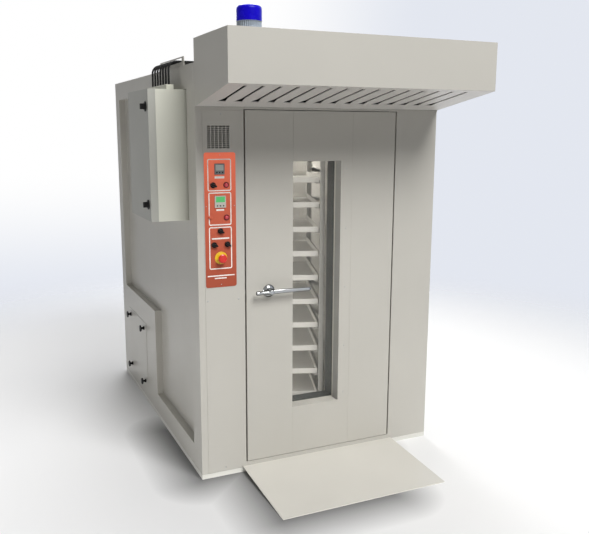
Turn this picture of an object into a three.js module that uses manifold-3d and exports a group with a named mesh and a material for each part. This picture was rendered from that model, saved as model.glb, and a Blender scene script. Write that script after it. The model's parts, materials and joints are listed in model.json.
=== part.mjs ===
// A free-standing rotating rack oven: insulated cabinet, glazed door, turning rack, steam hood and controls.
// Millimetres, +Z up. The origin is on the floor under the middle of the cabinet, and the door faces -Y.
// Inside the cabinet group, x runs from the left face, y from the front face and z from the floor.
import * as THREE from "three";
import { mergeVertices } from "three/addons/utils/BufferGeometryUtils.js";
import Module from "manifold-3d";

const wasm = await Module();
wasm.setup();

// ---------- driving dimensions ----------
const seat = 0.3; // gap kept between two pieces that touch
const skin = 2; // sheet steel of casings and covers
const cutPast = 1; // how far a cutting solid runs past the face it opens

const cabinet = { width: 1505, depth: 2095, height: 2300, baseHeight: 28, baseRib: 60, basePlate: 6 };
const sides = { thick: 47, recess: 45, frontPost: 150, rearPost: 125, topBand: 124, bottomBand: 159 };
const front = { flange: 40, jamb: 103.7, pivotBlock: 40, serviceLeft: 60, serviceRight: 225 };
const service = { bottom: 1000, top: 2010 };
const door = {
  left: 277, width: 940, bottom: 62, top: 2066, gap: 4, sideGap: 9, slabDepth: 25, depth: 88, step: 12,
  plugInset: 68, plugDepth: 183, sealInset: 34, sealWidth: 14, sealDepth: 11.4,
};
const pivot = { inset: 38, depth: 16, radius: 7, length: 14, block: 32, blockRise: 40 };
const glazing = {
  left: 560, right: 862, bottom: 349, top: 1790, pane: 7.4, lap: 10, frame: 12, outerAt: 80, sleeve: 2,
};
const strip = { right: 934, proud: 1.2, seam: 2, seamDepth: 0.8 };
const handle = {
  x: 410, z: 1069, roseRadius: 36, roseDepth: 14, hubRadius: 13, reach: 55, leverLength: 243, leverHeight: 26,
  leverDepth: 16, barrel: 92, barrelRadius: 12, spindle: 7, inside: 20, crown: 4,
};
const latch = { height: 20, depth: 10, length: 60, proud: 3 };

const chamber = { left: 247, right: 1247, front: 104, back: 1156, floor: 58, ceiling: 2050, mouthInset: 52 };
const duct = { depth: 60, front: 156, bottom: 130, top: 1990, rows: 9, slotHeight: 24 };
const returnAir = { width: 500, bottom: 1700, top: 1980 };

const rotor = { x: 747, y: 631, turn: -18.7, plateRadius: 430, plateGap: 3, plateThick: 12, hubRadius: 40 };
const bearing = { radius: 75, floor: 3 };
const rack = {
  width: 500, depth: 690, top: 1850, angle: 30, wall: 3, tiers: 10, firstRim: 320, pitch: 151.3,
  runnerWidth: 28, stopRadius: 5,
};
const tray = { depth: 640, rim: 33, wall: 3, play: 3 };
const castor = {
  radius: 50, width: 30, axle: 6, cheek: 4, cheekWidth: 32, cheekDrop: 14, plate: 5, plateLength: 60,
  insetX: 40, insetY: 45, play: 1,
};
const drive = { shaftRadius: 20, barHeight: 25, barWidth: 40, claw: 12, clawDrop: 34, shaftRise: 85 };
const gearbox = {
  size: 180, height: 110, axisRise: 60, motorRadius: 52, finRadius: 57, motorLength: 230, finWidth: 16,
  terminalWidth: 80, terminalLength: 90, terminalStart: 60, terminalRise: 20,
};
const fan = { x: 752, behind: 244, radius: 220, drop: 420, height: 120, blades: 8, shaftRadius: 14, plate: 4 };
const fanMotor = { radius: 90, height: 170, flange: 12, flangeSize: 240, cowl: 80, cowlRise: 20 };

const drum = {
  frontShare: 0.17, z: 470, radius: 230, left: 470, right: 1250, wall: 6, footWidth: 50, footInset: 90,
};
const header = { left: 540, right: 1180, depth: 240, drop: 800, height: 140 };
const fireTube = { radius: 42, wall: 4, count: 4, spread: 55 };
const flue = { x: 1120, radius: 75, rise: 170, collar: 14 };
const burner = {
  left: 180, length: 200, width: 220, below: 120, height: 260, tubeRadius: 60, flangeRadius: 96, flange: 10,
  scrollRadius: 109, scrollStart: 110, scrollProud: 40,
};
const cascade = { left: 860, right: 1230, behind: 34, depth: 160, top: 1100, shelves: 7, lip: 30, wall: 4 };

const column = { left: 38, right: 243, bottom: 30, top: 2062 };
const vent = { left: 61, right: 189, bottom: 1864, top: 1985, columns: 6, rows: 12, bar: 4 };
const fascia = { left: 42, right: 218, bottom: 1115, top: 1844, thick: 1.7, corner: 12 };
const instrument = { body: 45, bodyDepth: 55, bezel: 6, recess: 1, frame: 5 };
const controllerAt = { x: 127, z: 1757, width: 56, height: 58 };
const timerAt = { x: 129, z: 1583, width: 63, height: 65 };
const pilotHole = 8; // radius of the holes that lamps and switches go through
const lampSpots = { heating_lamp: [163.5, 1672], ready_lamp: [164, 1497] };
const lamp = { radius: 11, proud: 9, body: 30 };
const selectorSpots = {
  power_selector: [90.5, 1672],
  steam_selector: [129, 1424],
  light_selector: [92, 1350],
  fan_selector: [167.5, 1350],
};
const selector = { radius: 14.5, flange: 5, gripWidth: 9, gripDepth: 15, stem: 6, stemLength: 24 };
const startButton = { x: 73, z: 1502, radius: 11, proud: 6, rimLow: 2, rimHigh: 4, stemLength: 24 };
const estop = { x: 129, z: 1277, plateRadius: 35, plate: 3, collar: 17, collarDepth: 10, travel: 6 };
const mushroom = { radius: 25, head: 15, stem: 7, stemLength: 30, stand: 10 };

const hood = {
  projection: 525, top: 2420, frontBottom: 2170, rearBottom: 2080, ledge: 12, lip: 10, lipProud: 6,
};
const baffle = {
  thick: 4, first: 99.5, pitch: 89.3, count: 15, slot: 10, slotFront: 486, slotRear: 130, notch: 16,
};
const beacon = { x: 128, y: 460, radius: 59, baseHeight: 30, domeHeight: 72, ribs: 24, ribDepth: 3 };
const ramp = {
  width: 1000, length: 585, rearHeight: 35, frontHeight: 5, plate: 5, toe: 40, ribInset: 110, rib: 6, ribToe: 30,
};

const box = { front: 173, depth: 492, bottom: 1468, topGap: 3, outer: 203, lid: 40, skin: 1.5 };
const boxHinge = { radius: 7, length: 80, offset: 1.5, endInset: 85 };
const boxLatch = {
  inset: 56, endInset: 90, radius: 27, plate: 5, boss: 19, bossDepth: 9, wing: 12, wingDepth: 25, stem: 6,
  inside: 20,
};
const wiring = { plate: 3, inset: 26, rows: 3, devices: 4, deviceWidth: 70, deviceHeight: 85, deviceDepth: 75 };
const conduit = {
  count: 7, radius: 6, pitch: 60, first: 276, x: 60, bend: 45, run: 540, sides: 8, bendSteps: 5,
};
const gland = { height: 30, wall: 2, margin: 12, sunk: 3 };
const bracket = { x: 4, sheet: 3, front: 196, back: 700, post: 42, sill: 20, slot: 22, bar: 7 };
const entryBox = { width: 80, margin: 30, rise: 45 };

const access = { front: 1310, back: 1870, bottom: 118, top: 592, housingFront: 1030, housingTop: 750 };
const accessHole = { front: 1400, back: 1783, bottom: 176, top: 516 };
const accessKnob = {
  front: 1370, back: 1813, low: 146, high: 546, head: 24, headDepth: 12, reach: 36, stem: 9, play: 1, inside: 14,
  footDepth: 9,
};

// ---------- places worked out from them ----------
const topSeat = cabinet.height - skin - seat; // upper edge of the walls, under the roof sheet
const wallFoot = cabinet.baseHeight + seat;
const doorRight = door.left + door.width;
const aperture = {
  left: door.left - door.sideGap,
  right: doorRight + door.sideGap,
  bottom: door.bottom - door.gap,
  top: door.top + door.gap,
};
const pivotAt = { x: doorRight - pivot.inset, y: pivot.depth };
const mouth = {
  left: door.left + chamber.mouthInset,
  right: doorRight - chamber.mouthInset,
  top: door.top - chamber.mouthInset,
};
const innerPaneFront = door.plugDepth - skin - seat - glazing.pane;
const plateBack = door.depth + seat + skin; // rear face of the flange of the inner door pan
const trayHalf = rack.width / 2 - rack.angle - tray.play;
const boxTop = cabinet.height - sides.topBand - box.topGap;
const coverFace = -(seat + skin); // front face of the column cover
const fasciaFace = coverFace - seat - fascia.thick;
const conduitTop = cabinet.height + bracket.sill + seat + conduit.radius; // middle of the level stretch
const wheelAxle = chamber.floor + seat + castor.radius;
const fanY = chamber.back + fan.behind;
const fanBottom = cabinet.height - fan.drop;
const cascadeFront = chamber.back + cascade.behind;
const cascadeBack = cascadeFront + cascade.depth;
const spareDepth = cabinet.depth - sides.thick - cascadeBack - 2 * drum.radius; // free before and behind the drum
const drumY = cascadeBack + drum.frontShare * spareDepth + drum.radius;
const headerFoot = cabinet.height - header.drop;
const headerTop = headerFoot + header.height;
const doorMiddle = door.left + door.width / 2;

// ---------- materials ----------
const paint = (color, roughness, metalness = 0) =>
  new THREE.MeshStandardMaterial({ color, roughness, metalness, flatShading: true });
const palette = {
  shell: () => paint(0xc8c4bc, 0.35),
  steel: () => paint(0xb4b4b0, 0.35, 0.9),
  chrome: () => paint(0xd8dade, 0.12, 1),
  dark: () => paint(0x3a3b3a, 0.6),
  black: () => paint(0x151515, 0.45),
  iron: () => paint(0x5b5a58, 0.7, 0.6),
  rubber: () => paint(0x1c1c1c, 0.85),
  orange: () => paint(0xd86e50, 0.45),
  yellow: () => paint(0xf0c81e, 0.45),
  red: () => paint(0xc02018, 0.35),
  blue: () => paint(0x1a12b0, 0.2),
  clear: () => new THREE.MeshStandardMaterial({ color: 0xa8b0b0, roughness: 0.05, transparent: true, opacity: 0.3 }),
};

// ---------- solid-making helpers ----------
function solid(geometry) {
  const bare = geometry.clone();
  bare.deleteAttribute("normal");
  bare.deleteAttribute("uv");
  const merged = mergeVertices(bare, 1e-4);
  const triVerts = new Uint32Array(merged.index.array);
  return new wasm.Manifold(
    new wasm.Mesh({ numProp: 3, vertProperties: merged.attributes.position.array, triVerts }),
  );
}

// A block whose corners take the given limits exactly, so faces meant to be flush are flush.
function slab(...ranges) {
  const block = new THREE.BoxGeometry(1, 1, 1);
  const corners = block.attributes.position;
  for (let i = 0; i < corners.count; i++)
    ranges.forEach(([low, high], axis) => {
      corners.setComponent(i, axis, corners.getComponent(i, axis) < 0 ? low : high);
    });
  return solid(block);
}

// A cylinder along an axis; the middle is given in the two other coordinates, in x, y, z order.
function rod(axis, radius, [from, to], [a, b], facets = 20) {
  const bar = new THREE.CylinderGeometry(radius, radius, to - from, facets);
  const half = (from + to) / 2;
  if (axis === "x") return solid(bar.rotateZ(-Math.PI / 2).translate(half, a, b));
  if (axis === "y") return solid(bar.translate(a, half, b));
  return solid(bar.rotateX(Math.PI / 2).translate(a, b, half));
}

const basis = {
  x: [new THREE.Vector3(0, 1, 0), new THREE.Vector3(0, 0, 1), new THREE.Vector3(1, 0, 0)],
  y: [new THREE.Vector3(1, 0, 0), new THREE.Vector3(0, 0, 1), new THREE.Vector3(0, -1, 0)],
  z: [new THREE.Vector3(1, 0, 0), new THREE.Vector3(0, 1, 0), new THREE.Vector3(0, 0, 1)],
};

// An outline carried along an axis; its points are in the two other coordinates, in x, y, z order.
function prism(outline, axis, [from, to]) {
  const given = outline instanceof THREE.Shape;
  const shape = given ? outline : new THREE.Shape(outline.map(([u, v]) => new THREE.Vector2(u, v)));
  const block = new THREE.ExtrudeGeometry(shape, { depth: to - from, bevelEnabled: false, curveSegments: 3 });
  block.applyMatrix4(new THREE.Matrix4().makeBasis(...basis[axis]));
  const start = new THREE.Vector3().copy(basis[axis][2]).multiplyScalar(axis === "y" ? -to : from);
  return solid(block.translate(start.x, start.y, start.z));
}

function roundedOutline(u0, u1, v0, v1, radius) {
  const shape = new THREE.Shape();
  shape.moveTo(u0 + radius, v0);
  shape.lineTo(u1 - radius, v0).absarc(u1 - radius, v0 + radius, radius, -Math.PI / 2, 0);
  shape.lineTo(u1, v1 - radius).absarc(u1 - radius, v1 - radius, radius, 0, Math.PI / 2);
  shape.lineTo(u0 + radius, v1).absarc(u0 + radius, v1 - radius, radius, Math.PI / 2, Math.PI);
  shape.lineTo(u0, v0 + radius).absarc(u0 + radius, v0 + radius, radius, Math.PI, 1.5 * Math.PI);
  return shape;
}

// A profile of [radius, height] pairs turned about Z, listed from the lowest point outwards and up.
function turned(profile, facets = 16) {
  const points = profile.map(([r, h]) => new THREE.Vector2(r, h));
  return solid(new THREE.LatheGeometry(points, facets).rotateX(Math.PI / 2));
}

const joined = (parts) => parts.slice(1).reduce((whole, part) => whole.add(part), parts[0]);
const less = (whole, cuts) => cuts.reduce((left, cut) => left.subtract(cut), whole);
const moved = (part, x, y, z) => part.translate([x, y, z]);
const towardsFront = (part) => part.rotate([90, 0, 0]); // turns +Z to -Y
const towardsLeft = (part) => part.rotate([0, -90, 0]); // turns +Z to -X

function meshOf(name, whole, material) {
  const data = whole.getMesh();
  const geometry = new THREE.BufferGeometry();
  geometry.setAttribute("position", new THREE.BufferAttribute(data.vertProperties, 3));
  geometry.setIndex(new THREE.BufferAttribute(data.triVerts, 1));
  geometry.computeVertexNormals();
  const mesh = new THREE.Mesh(geometry, material);
  mesh.name = name;
  return mesh;
}

// ---------- cabinet ----------
function baseFrame() {
  const { width, depth, baseHeight, baseRib, basePlate } = cabinet;
  const body = slab([0, width], [0, depth], [0, baseHeight]);
  const halfRib = baseRib / 2;
  const stopsX = [baseRib, width / 2 - halfRib, width / 2 + halfRib, width - baseRib];
  const stopsY = [baseRib, depth / 2 - halfRib, depth / 2 + halfRib, depth - baseRib];
  const pockets = [];
  for (const i of [0, 2])
    for (const j of [0, 2])
      pockets.push(
        slab([stopsX[i], stopsX[i + 1]], [stopsY[j], stopsY[j + 1]], [-cutPast, baseHeight - basePlate]),
      );
  return less(body, pockets);
}

function frontFrame() {
  const { width } = cabinet;
  const sheetBox = slab([0, width], [0, front.flange], [wallFoot, topSeat]);
  const hollow = slab(
    [skin, width - skin], [skin, front.flange + cutPast], [wallFoot + skin, topSeat - skin],
  );
  const jamb = slab(
    [aperture.left - skin, aperture.right + skin],
    [0, front.jamb],
    [aperture.bottom - skin, aperture.top + skin],
  );
  const half = front.pivotBlock / 2;
  const blocks = [[aperture.bottom - half, aperture.bottom], [aperture.top, aperture.top + half]].map((z) =>
    slab([pivotAt.x - half, pivotAt.x + half], [0, front.flange], z),
  );
  const opening = slab(
    [aperture.left, aperture.right], [-cutPast, front.jamb + cutPast], [aperture.bottom, aperture.top],
  );
  const reach = pivot.length + cutPast;
  const bore = rod(
    "z", pivot.radius + seat, [door.bottom - reach, door.top + reach], [pivotAt.x, pivotAt.y], 16,
  );
  const serviceHole = slab(
    [front.serviceLeft, front.serviceRight], [-cutPast, front.flange], [service.bottom, service.top],
  );
  return less(joined([less(sheetBox, [hollow]), jamb, ...blocks]), [opening, bore, serviceHole]);
}

// A sheet wall with a flush frame round a pressed-in field; u runs along the wall and z is up.
function framedWall(length, edges, housing) {
  const { thick, recess } = sides;
  const span = [wallFoot, topSeat];
  const field = { z: [edges.bottom, cabinet.height - edges.top], u: [edges.start, length - edges.end] };
  let wall = slab([0, thick], [0, length], span);
  let pocket = slab([-cutPast, recess], field.u, field.z);
  if (housing) pocket = pocket.subtract(slab([-2 * cutPast, thick], housing.u, [0, housing.top]));
  const back = [skin, thick + cutPast];
  const bands = [
    slab(back, [skin, field.u[0] - skin], [span[0] + skin, span[1] - skin]),
    slab(back, [field.u[1] + skin, length - skin], [span[0] + skin, span[1] - skin]),
    slab(back, [skin, length - skin], [field.z[1] + skin, span[1] - skin]),
    slab(back, [skin, length - skin], [span[0] + skin, field.z[0] - skin]),
  ];
  if (housing)
    bands.push(slab(back, [housing.u[0] + skin, length - skin], [span[0] + skin, housing.top - skin]));
  wall = less(wall, [pocket, ...bands]);
  return wall;
}

const wallStart = front.flange + seat; // the side walls begin behind the front frame
const wallLength = cabinet.depth - wallStart;
const fieldEdges = {
  start: sides.frontPost - wallStart, end: sides.rearPost, top: sides.topBand, bottom: sides.bottomBand,
};

function leftSidePanel() {
  const housing = { u: [access.housingFront - wallStart, wallLength + cutPast], top: access.housingTop };
  const wall = moved(framedWall(wallLength, fieldEdges, housing), 0, wallStart, 0);
  const manhole = slab(
    [-cutPast, sides.thick], [accessHole.front, accessHole.back], [accessHole.bottom, accessHole.top],
  );
  const studHoles = knobSpots().map(([y, z]) =>
    rod("x", accessKnob.stem + accessKnob.play, [-cutPast, sides.thick], [y, z], 12),
  );
  return less(wall, [manhole, ...studHoles]);
}

function rightSidePanel() {
  const wall = framedWall(wallLength, fieldEdges, null).mirror([1, 0, 0]);
  return moved(wall, cabinet.width, wallStart, 0);
}

function backPanel() {
  const length = cabinet.width - 2 * (sides.thick + seat);
  const edges = { start: sides.rearPost, end: sides.rearPost, top: sides.topBand, bottom: sides.bottomBand };
  const wall = framedWall(length, edges, null).rotate([0, 0, -90]).mirror([0, 1, 0]);
  return moved(wall.mirror([0, 1, 0]), sides.thick + seat, cabinet.depth, 0);
}

// An upright sheet on the roof's edge, with one long slot that holds the conduits level.
function conduitBracket() {
  const { x, sheet, front, back, post, sill, slot, bar } = bracket;
  const sillTop = cabinet.height + sill;
  const upright = slab([x, x + sheet], [front, back], [cabinet.height - skin, sillTop + slot + bar]);
  const passage = slab(
    [x - cutPast, x + sheet + cutPast], [front + post, back - post], [sillTop, sillTop + slot],
  );
  return upright.subtract(passage);
}

function roofPanel() {
  const { width, depth, height } = cabinet;
  const sheet = slab([0, width], [0, depth], [height - skin, height]);
  const entry = slab(
    [conduit.run, conduit.run + entryBox.width],
    [conduit.first - entryBox.margin, lastConduit() + entryBox.margin],
    [height - skin, height + entryBox.rise],
  );
  const holes = [
    rod("z", drive.shaftRadius + 5, [height - 2 * skin, height + cutPast], [rotor.x, rotor.y], 16),
    rod("z", fan.shaftRadius + 5, [height - 2 * skin, height + cutPast], [fan.x, fanY], 12),
    rod("z", flue.radius + seat, [height - 2 * skin, height + cutPast], [flue.x, drumY], 20),
  ];
  return less(joined([sheet, entry, conduitBracket()]), holes);
}

// ---------- chamber ----------
function airDuct(wallFace, inward) {
  const face = wallFace + inward * duct.depth;
  const spanX = (a, b) => [Math.min(a, b), Math.max(a, b)];
  const shell = slab(
    spanX(wallFace - inward * skin, face), [duct.front, chamber.back + skin], [duct.bottom, duct.top],
  );
  const inside = slab(
    spanX(wallFace, face - inward * skin),
    [duct.front + skin, chamber.back],
    [duct.bottom + skin, duct.top - skin],
  );
  const inlet = slab(
    spanX(wallFace + inward * skin, face - inward * 2 * skin),
    [chamber.back - cutPast, chamber.back + 2 * skin],
    [returnAir.bottom, returnAir.top],
  );
  const rowPitch = (duct.top - duct.bottom) / duct.rows;
  const slots = [];
  for (let i = 0; i < duct.rows; i++) {
    const z = duct.bottom + (i + 0.5) * rowPitch;
    slots.push(
      slab(
        spanX(face - inward * 2 * skin, face + inward * cutPast),
        [duct.front + duct.depth, chamber.back - duct.depth],
        [z - duct.slotHeight / 2, z + duct.slotHeight / 2],
      ),
    );
  }
  return { shell, cuts: [inside, inlet, ...slots] };
}

function chamberLiner() {
  const { left, right, back, floor, ceiling } = chamber;
  const outer = slab([left - skin, right + skin], [chamber.front, back + skin], [wallFoot, ceiling + skin]);
  const inner = slab([left, right], [chamber.front + skin, back], [floor, ceiling]);
  const under = slab([left, right], [chamber.front + skin, back], [wallFoot - cutPast, floor - skin]);
  const mouthCut = slab(
    [mouth.left, mouth.right],
    [chamber.front - cutPast, chamber.front + 2 * skin],
    [wallFoot - cutPast, mouth.top],
  );
  const plateHole = rod(
    "z", rotor.plateRadius + rotor.plateGap, [floor - 2 * skin, floor + cutPast], [rotor.x, rotor.y], 40,
  );
  const shaftHole = rod(
    "z", drive.shaftRadius + 5, [ceiling - cutPast, ceiling + 2 * skin], [rotor.x, rotor.y], 16,
  );
  const middle = (left + right) / 2;
  const airHole = slab(
    [middle - returnAir.width / 2, middle + returnAir.width / 2],
    [back - cutPast, back + 2 * skin],
    [returnAir.bottom, returnAir.top],
  );
  const shell = less(outer, [inner, under, mouthCut, plateHole, shaftHole, airHole]);
  const ducts = [airDuct(left, 1), airDuct(right, -1)];
  return less(joined([shell, ...ducts.map((d) => d.shell)]), ducts.flatMap((d) => d.cuts));
}

function turntableBearing() {
  const top = chamber.floor - rotor.plateThick - seat;
  const ring = rod("z", bearing.radius, [wallFoot, top], [rotor.x, rotor.y], 24);
  const socket = rod(
    "z", rotor.hubRadius + seat, [wallFoot + bearing.floor, top + cutPast], [rotor.x, rotor.y], 24,
  );
  return ring.subtract(socket);
}

// ---------- rotating rack, in its own turned frame about the drive axis ----------
function turntable() {
  const plate = rod("z", rotor.plateRadius, [chamber.floor - rotor.plateThick, chamber.floor], [0, 0], 40);
  const hubFoot = wallFoot + bearing.floor + seat;
  return plate.add(rod("z", rotor.hubRadius, [hubFoot, chamber.floor - rotor.plateThick / 2], [0, 0], 24));
}

const castorSpots = () => {
  const x = rack.width / 2 - castor.insetX;
  const y = rack.depth / 2 - castor.insetY;
  return [[-x, -y], [x, -y], [x, y], [-x, y]];
};

function castorFork([x, y]) {
  const top = wheelAxle + castor.radius + 2 * castor.plate;
  const inner = castor.width / 2 + castor.play;
  const outer = inner + castor.cheek;
  const halfPlate = castor.plateLength / 2;
  const halfCheek = castor.cheekWidth / 2;
  const plate = slab(
    [x - outer, x + outer], [y - halfPlate, y + halfPlate], [top, top + castor.plate + rack.wall],
  );
  const cheeks = [[-outer, -inner], [inner, outer]].map(([a, b]) =>
    slab([x + a, x + b], [y - halfCheek, y + halfCheek], [wheelAxle - castor.cheekDrop, top + castor.plate / 2]),
  );
  const axle = rod("x", castor.axle, [x - outer, x + outer], [y, wheelAxle], 8);
  return joined([plate, ...cheeks, axle]);
}

function castorWheel() {
  const bore = castor.axle + castor.play;
  const half = castor.width / 2;
  const ring = turned(
    [[bore, -half], [castor.radius, -half], [castor.radius, half], [bore, half], [bore, -half]], 20,
  );
  return ring.rotate([0, 90, 0]);
}

const rackFoot = wheelAxle + castor.radius + 3 * castor.plate;
const rimTop = (tier) => rack.firstRim + tier * rack.pitch;

function rackUpright(cornerX, cornerY) {
  const { width, depth, angle, wall, top } = rack;
  const x = [(cornerX * width) / 2, cornerX * (width / 2 - angle)].sort((a, b) => a - b);
  const y = [(cornerY * depth) / 2, cornerY * (depth / 2 - angle)].sort((a, b) => a - b);
  const inX = x.map((v) => v - cornerX * wall);
  const inY = y.map((v) => v - cornerY * wall);
  return slab(x, y, [rackFoot, top]).subtract(slab(inX, inY, [rackFoot - cutPast, top + cutPast]));
}

function rackFrame() {
  const { width, depth, angle, wall, top } = rack;
  const halfX = width / 2;
  const halfY = depth / 2;
  const parts = [];
  for (const sx of [-1, 1]) for (const sy of [-1, 1]) parts.push(rackUpright(sx, sy));
  for (const [low, high] of [[rackFoot, rackFoot + angle], [top - angle, top]]) {
    for (const s of [-1, 1]) {
      const x = [s * halfX, s * (halfX - wall)].sort((a, b) => a - b);
      const y = [s * halfY, s * (halfY - wall)].sort((a, b) => a - b);
      parts.push(slab(x, [-halfY, halfY], [low, high]), slab([-halfX, halfX], y, [low, high]));
    }
  }
  for (let tier = 0; tier < rack.tiers; tier++)
    for (const s of [-1, 1]) {
      const shelf = rimTop(tier) - tray.rim - seat;
      const outer = s * (halfX - wall / 2);
      const x = [outer, s * (halfX - angle - rack.runnerWidth)].sort((a, b) => a - b);
      parts.push(slab(x, [-halfY + wall / 2, halfY - wall / 2], [shelf - wall, shelf]));
    }
  for (const spot of castorSpots()) parts.push(castorFork(spot));
  const deck = slab([-halfX, halfX], [-halfY, halfY], [rackFoot - wall, rackFoot]);
  const deckHole = slab(
    [-halfX + 2.5 * angle, halfX - 2.5 * angle], [-halfY + 3 * angle, halfY - 3 * angle],
    [rackFoot - 2 * wall, rackFoot + cutPast],
  );
  return joined([...parts, deck.subtract(deckHole)]);
}

// The trays, tied by the two rear stop bars that they butt against.
function trayStack() {
  const halfY = tray.depth / 2;
  const parts = [];
  for (let tier = 0; tier < rack.tiers; tier++) {
    const top = rimTop(tier);
    const outer = slab([-trayHalf, trayHalf], [-halfY, halfY], [top - tray.rim, top]);
    const inner = slab(
      [tray.wall - trayHalf, trayHalf - tray.wall],
      [tray.wall - halfY, halfY - tray.wall],
      [top - tray.rim + tray.wall, top + cutPast],
    );
    parts.push(outer.subtract(inner));
  }
  const low = rackFoot + rack.angle;
  const high = rimTop(rack.tiers - 1) + tray.rim;
  for (const s of [-1, 1])
    parts.push(rod("z", rack.stopRadius, [low, high], [s * trayHalf * 0.5, halfY + rack.stopRadius - 1], 8));
  return joined(parts);
}

function driveFork() {
  const foot = rack.top + seat;
  const halfBar = rack.width / 2 + seat + drive.claw;
  const half = drive.barWidth / 2;
  const bar = slab([-halfBar, halfBar], [-half, half], [foot, foot + drive.barHeight]);
  const claws = [-1, 1].map((s) => {
    const x = [s * (rack.width / 2 + seat), s * halfBar].sort((a, b) => a - b);
    return slab(x, [-half, half], [foot - drive.clawDrop, foot + drive.barHeight]);
  });
  const shaftTop = cabinet.height + drive.shaftRise;
  const shaft = rod("z", drive.shaftRadius, [foot + drive.barHeight / 2, shaftTop], [0, 0], 20);
  return joined([bar, ...claws, shaft]);
}

// ---------- drives, heating and steam ----------
function rackGearmotor() {
  const { size, height, axisRise, motorRadius, finRadius, motorLength, finWidth } = gearbox;
  const foot = cabinet.height + seat;
  const top = foot + height;
  const axisZ = foot + axisRise;
  const motorStart = rotor.y + size / 2;
  const housing = slab([rotor.x - size / 2, rotor.x + size / 2], [rotor.y - size / 2, motorStart], [foot, top]);
  const motor = rod("y", motorRadius, [rotor.y, motorStart + motorLength], [rotor.x, axisZ], 16);
  const fins = [0.3, 0.55, 0.8].map((share) => {
    const y = motorStart + share * motorLength;
    return rod("y", finRadius, [y - finWidth / 2, y + finWidth / 2], [rotor.x, axisZ], 16);
  });
  const boxStart = motorStart + gearbox.terminalStart;
  const terminals = slab(
    [rotor.x - gearbox.terminalWidth / 2, rotor.x + gearbox.terminalWidth / 2],
    [boxStart, boxStart + gearbox.terminalLength],
    [axisZ, top + gearbox.terminalRise],
  );
  const bore = rod("z", drive.shaftRadius + seat, [foot - cutPast, top + cutPast], [rotor.x, rotor.y], 20);
  return joined([housing, motor, ...fins, terminals]).subtract(bore);
}

function fanImpeller() {
  const top = fanBottom + fan.height;
  const backPlate = rod("z", fan.radius, [top - fan.plate, top], [0, 0], 32);
  const eye = fan.radius * 0.68;
  const rim = turned(
    [
      [eye, fanBottom], [fan.radius, fanBottom], [fan.radius, fanBottom + fan.plate], [eye, fanBottom + fan.plate],
      [eye, fanBottom],
    ],
    32,
  );
  const blades = [];
  for (let i = 0; i < fan.blades; i++) {
    const blade = slab([fan.radius * 0.62, fan.radius - 3], [-2, 2], [fanBottom + 1, top - 1]);
    blades.push(moved(blade, 0, fan.radius * 0.2, 0).rotate([0, 0, (360 * i) / fan.blades]));
  }
  const shaftTop = cabinet.height + fanMotor.height / 2;
  const hub = rod("z", fan.shaftRadius * 2.4, [top - fan.height / 2, top + fan.plate], [0, 0], 16);
  const shaft = rod("z", fan.shaftRadius, [top, shaftTop], [0, 0], 16);
  const disc = rod("z", fan.radius - 1, [fanBottom - cutPast, top + cutPast], [0, 0], 32);
  return joined([backPlate, rim, ...blades.map((b) => b.intersect(disc)), hub, shaft]);
}

function fanMotorBody() {
  const foot = cabinet.height + seat;
  const half = fanMotor.flangeSize / 2;
  const plate = slab([fan.x - half, fan.x + half], [fanY - half, fanY + half], [foot, foot + fanMotor.flange]);
  const middle = [fan.x, fanY];
  const body = rod("z", fanMotor.radius, [foot, foot + fanMotor.height], middle, 24);
  const cowl = rod("z", fanMotor.cowl, [foot, foot + fanMotor.height + fanMotor.cowlRise], middle, 24);
  const bore = rod(
    "z", fan.shaftRadius + seat, [foot - cutPast, cabinet.height + fanMotor.height / 2 + cutPast], middle, 16,
  );
  return joined([plate, body, cowl]).subtract(bore);
}

// Hot gas passes from the drum through the tubes into the header and up the flue, so all of them are hollow.
function heatExchanger() {
  const { wall, footWidth, footInset } = drum;
  const shell = rod("x", drum.radius, [drum.left, drum.right], [drumY, drum.z], 28);
  const footY = [drumY - drum.radius * 0.7, drumY + drum.radius * 0.7];
  const feet = [drum.left + footInset, drum.right - footInset].map((x) =>
    slab([x - footWidth / 2, x + footWidth / 2], footY, [wallFoot, drum.z]),
  );
  const chestY = [drumY - header.depth / 2, drumY + header.depth / 2];
  const chest = slab([header.left, header.right], chestY, [headerFoot, headerTop]);
  const furnace = rod("x", drum.radius - wall, [drum.left + wall, drum.right - wall], [drumY, drum.z], 28);
  const chestInside = slab(
    [header.left + wall, header.right - wall],
    [chestY[0] + wall, chestY[1] - wall],
    [headerFoot + wall, headerTop - wall],
  );
  const pitch = (header.right - header.left) / fireTube.count;
  const tubes = [];
  const bores = [];
  for (let i = 0; i < fireTube.count; i++)
    for (const side of [-1, 1]) {
      const spot = [header.left + (i + 0.5) * pitch, drumY + side * fireTube.spread];
      tubes.push(rod("z", fireTube.radius, [drum.z, headerFoot + wall], spot, 8));
      bores.push(rod("z", fireTube.radius - fireTube.wall, [drum.z, headerFoot + 2 * wall], spot, 8));
    }
  const flueTop = cabinet.height + flue.rise;
  const stack = rod("z", flue.radius, [headerTop - wall, flueTop], [flue.x, drumY], 20);
  const collar = rod(
    "z", flue.radius + flue.collar, [cabinet.height + seat, cabinet.height + 4 * skin], [flue.x, drumY], 20,
  );
  const stackBore = rod(
    "z", flue.radius - skin, [headerTop - 2 * wall, flueTop + cutPast], [flue.x, drumY], 20,
  );
  const fireMouth = rod(
    "x", burner.tubeRadius, [drum.left - cutPast, drum.left + 2 * wall], [drumY, drum.z], 20,
  );
  return less(joined([shell, ...feet, chest, ...tubes, stack, collar]), [
    furnace, chestInside, ...bores, stackBore, fireMouth,
  ]);
}

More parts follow.
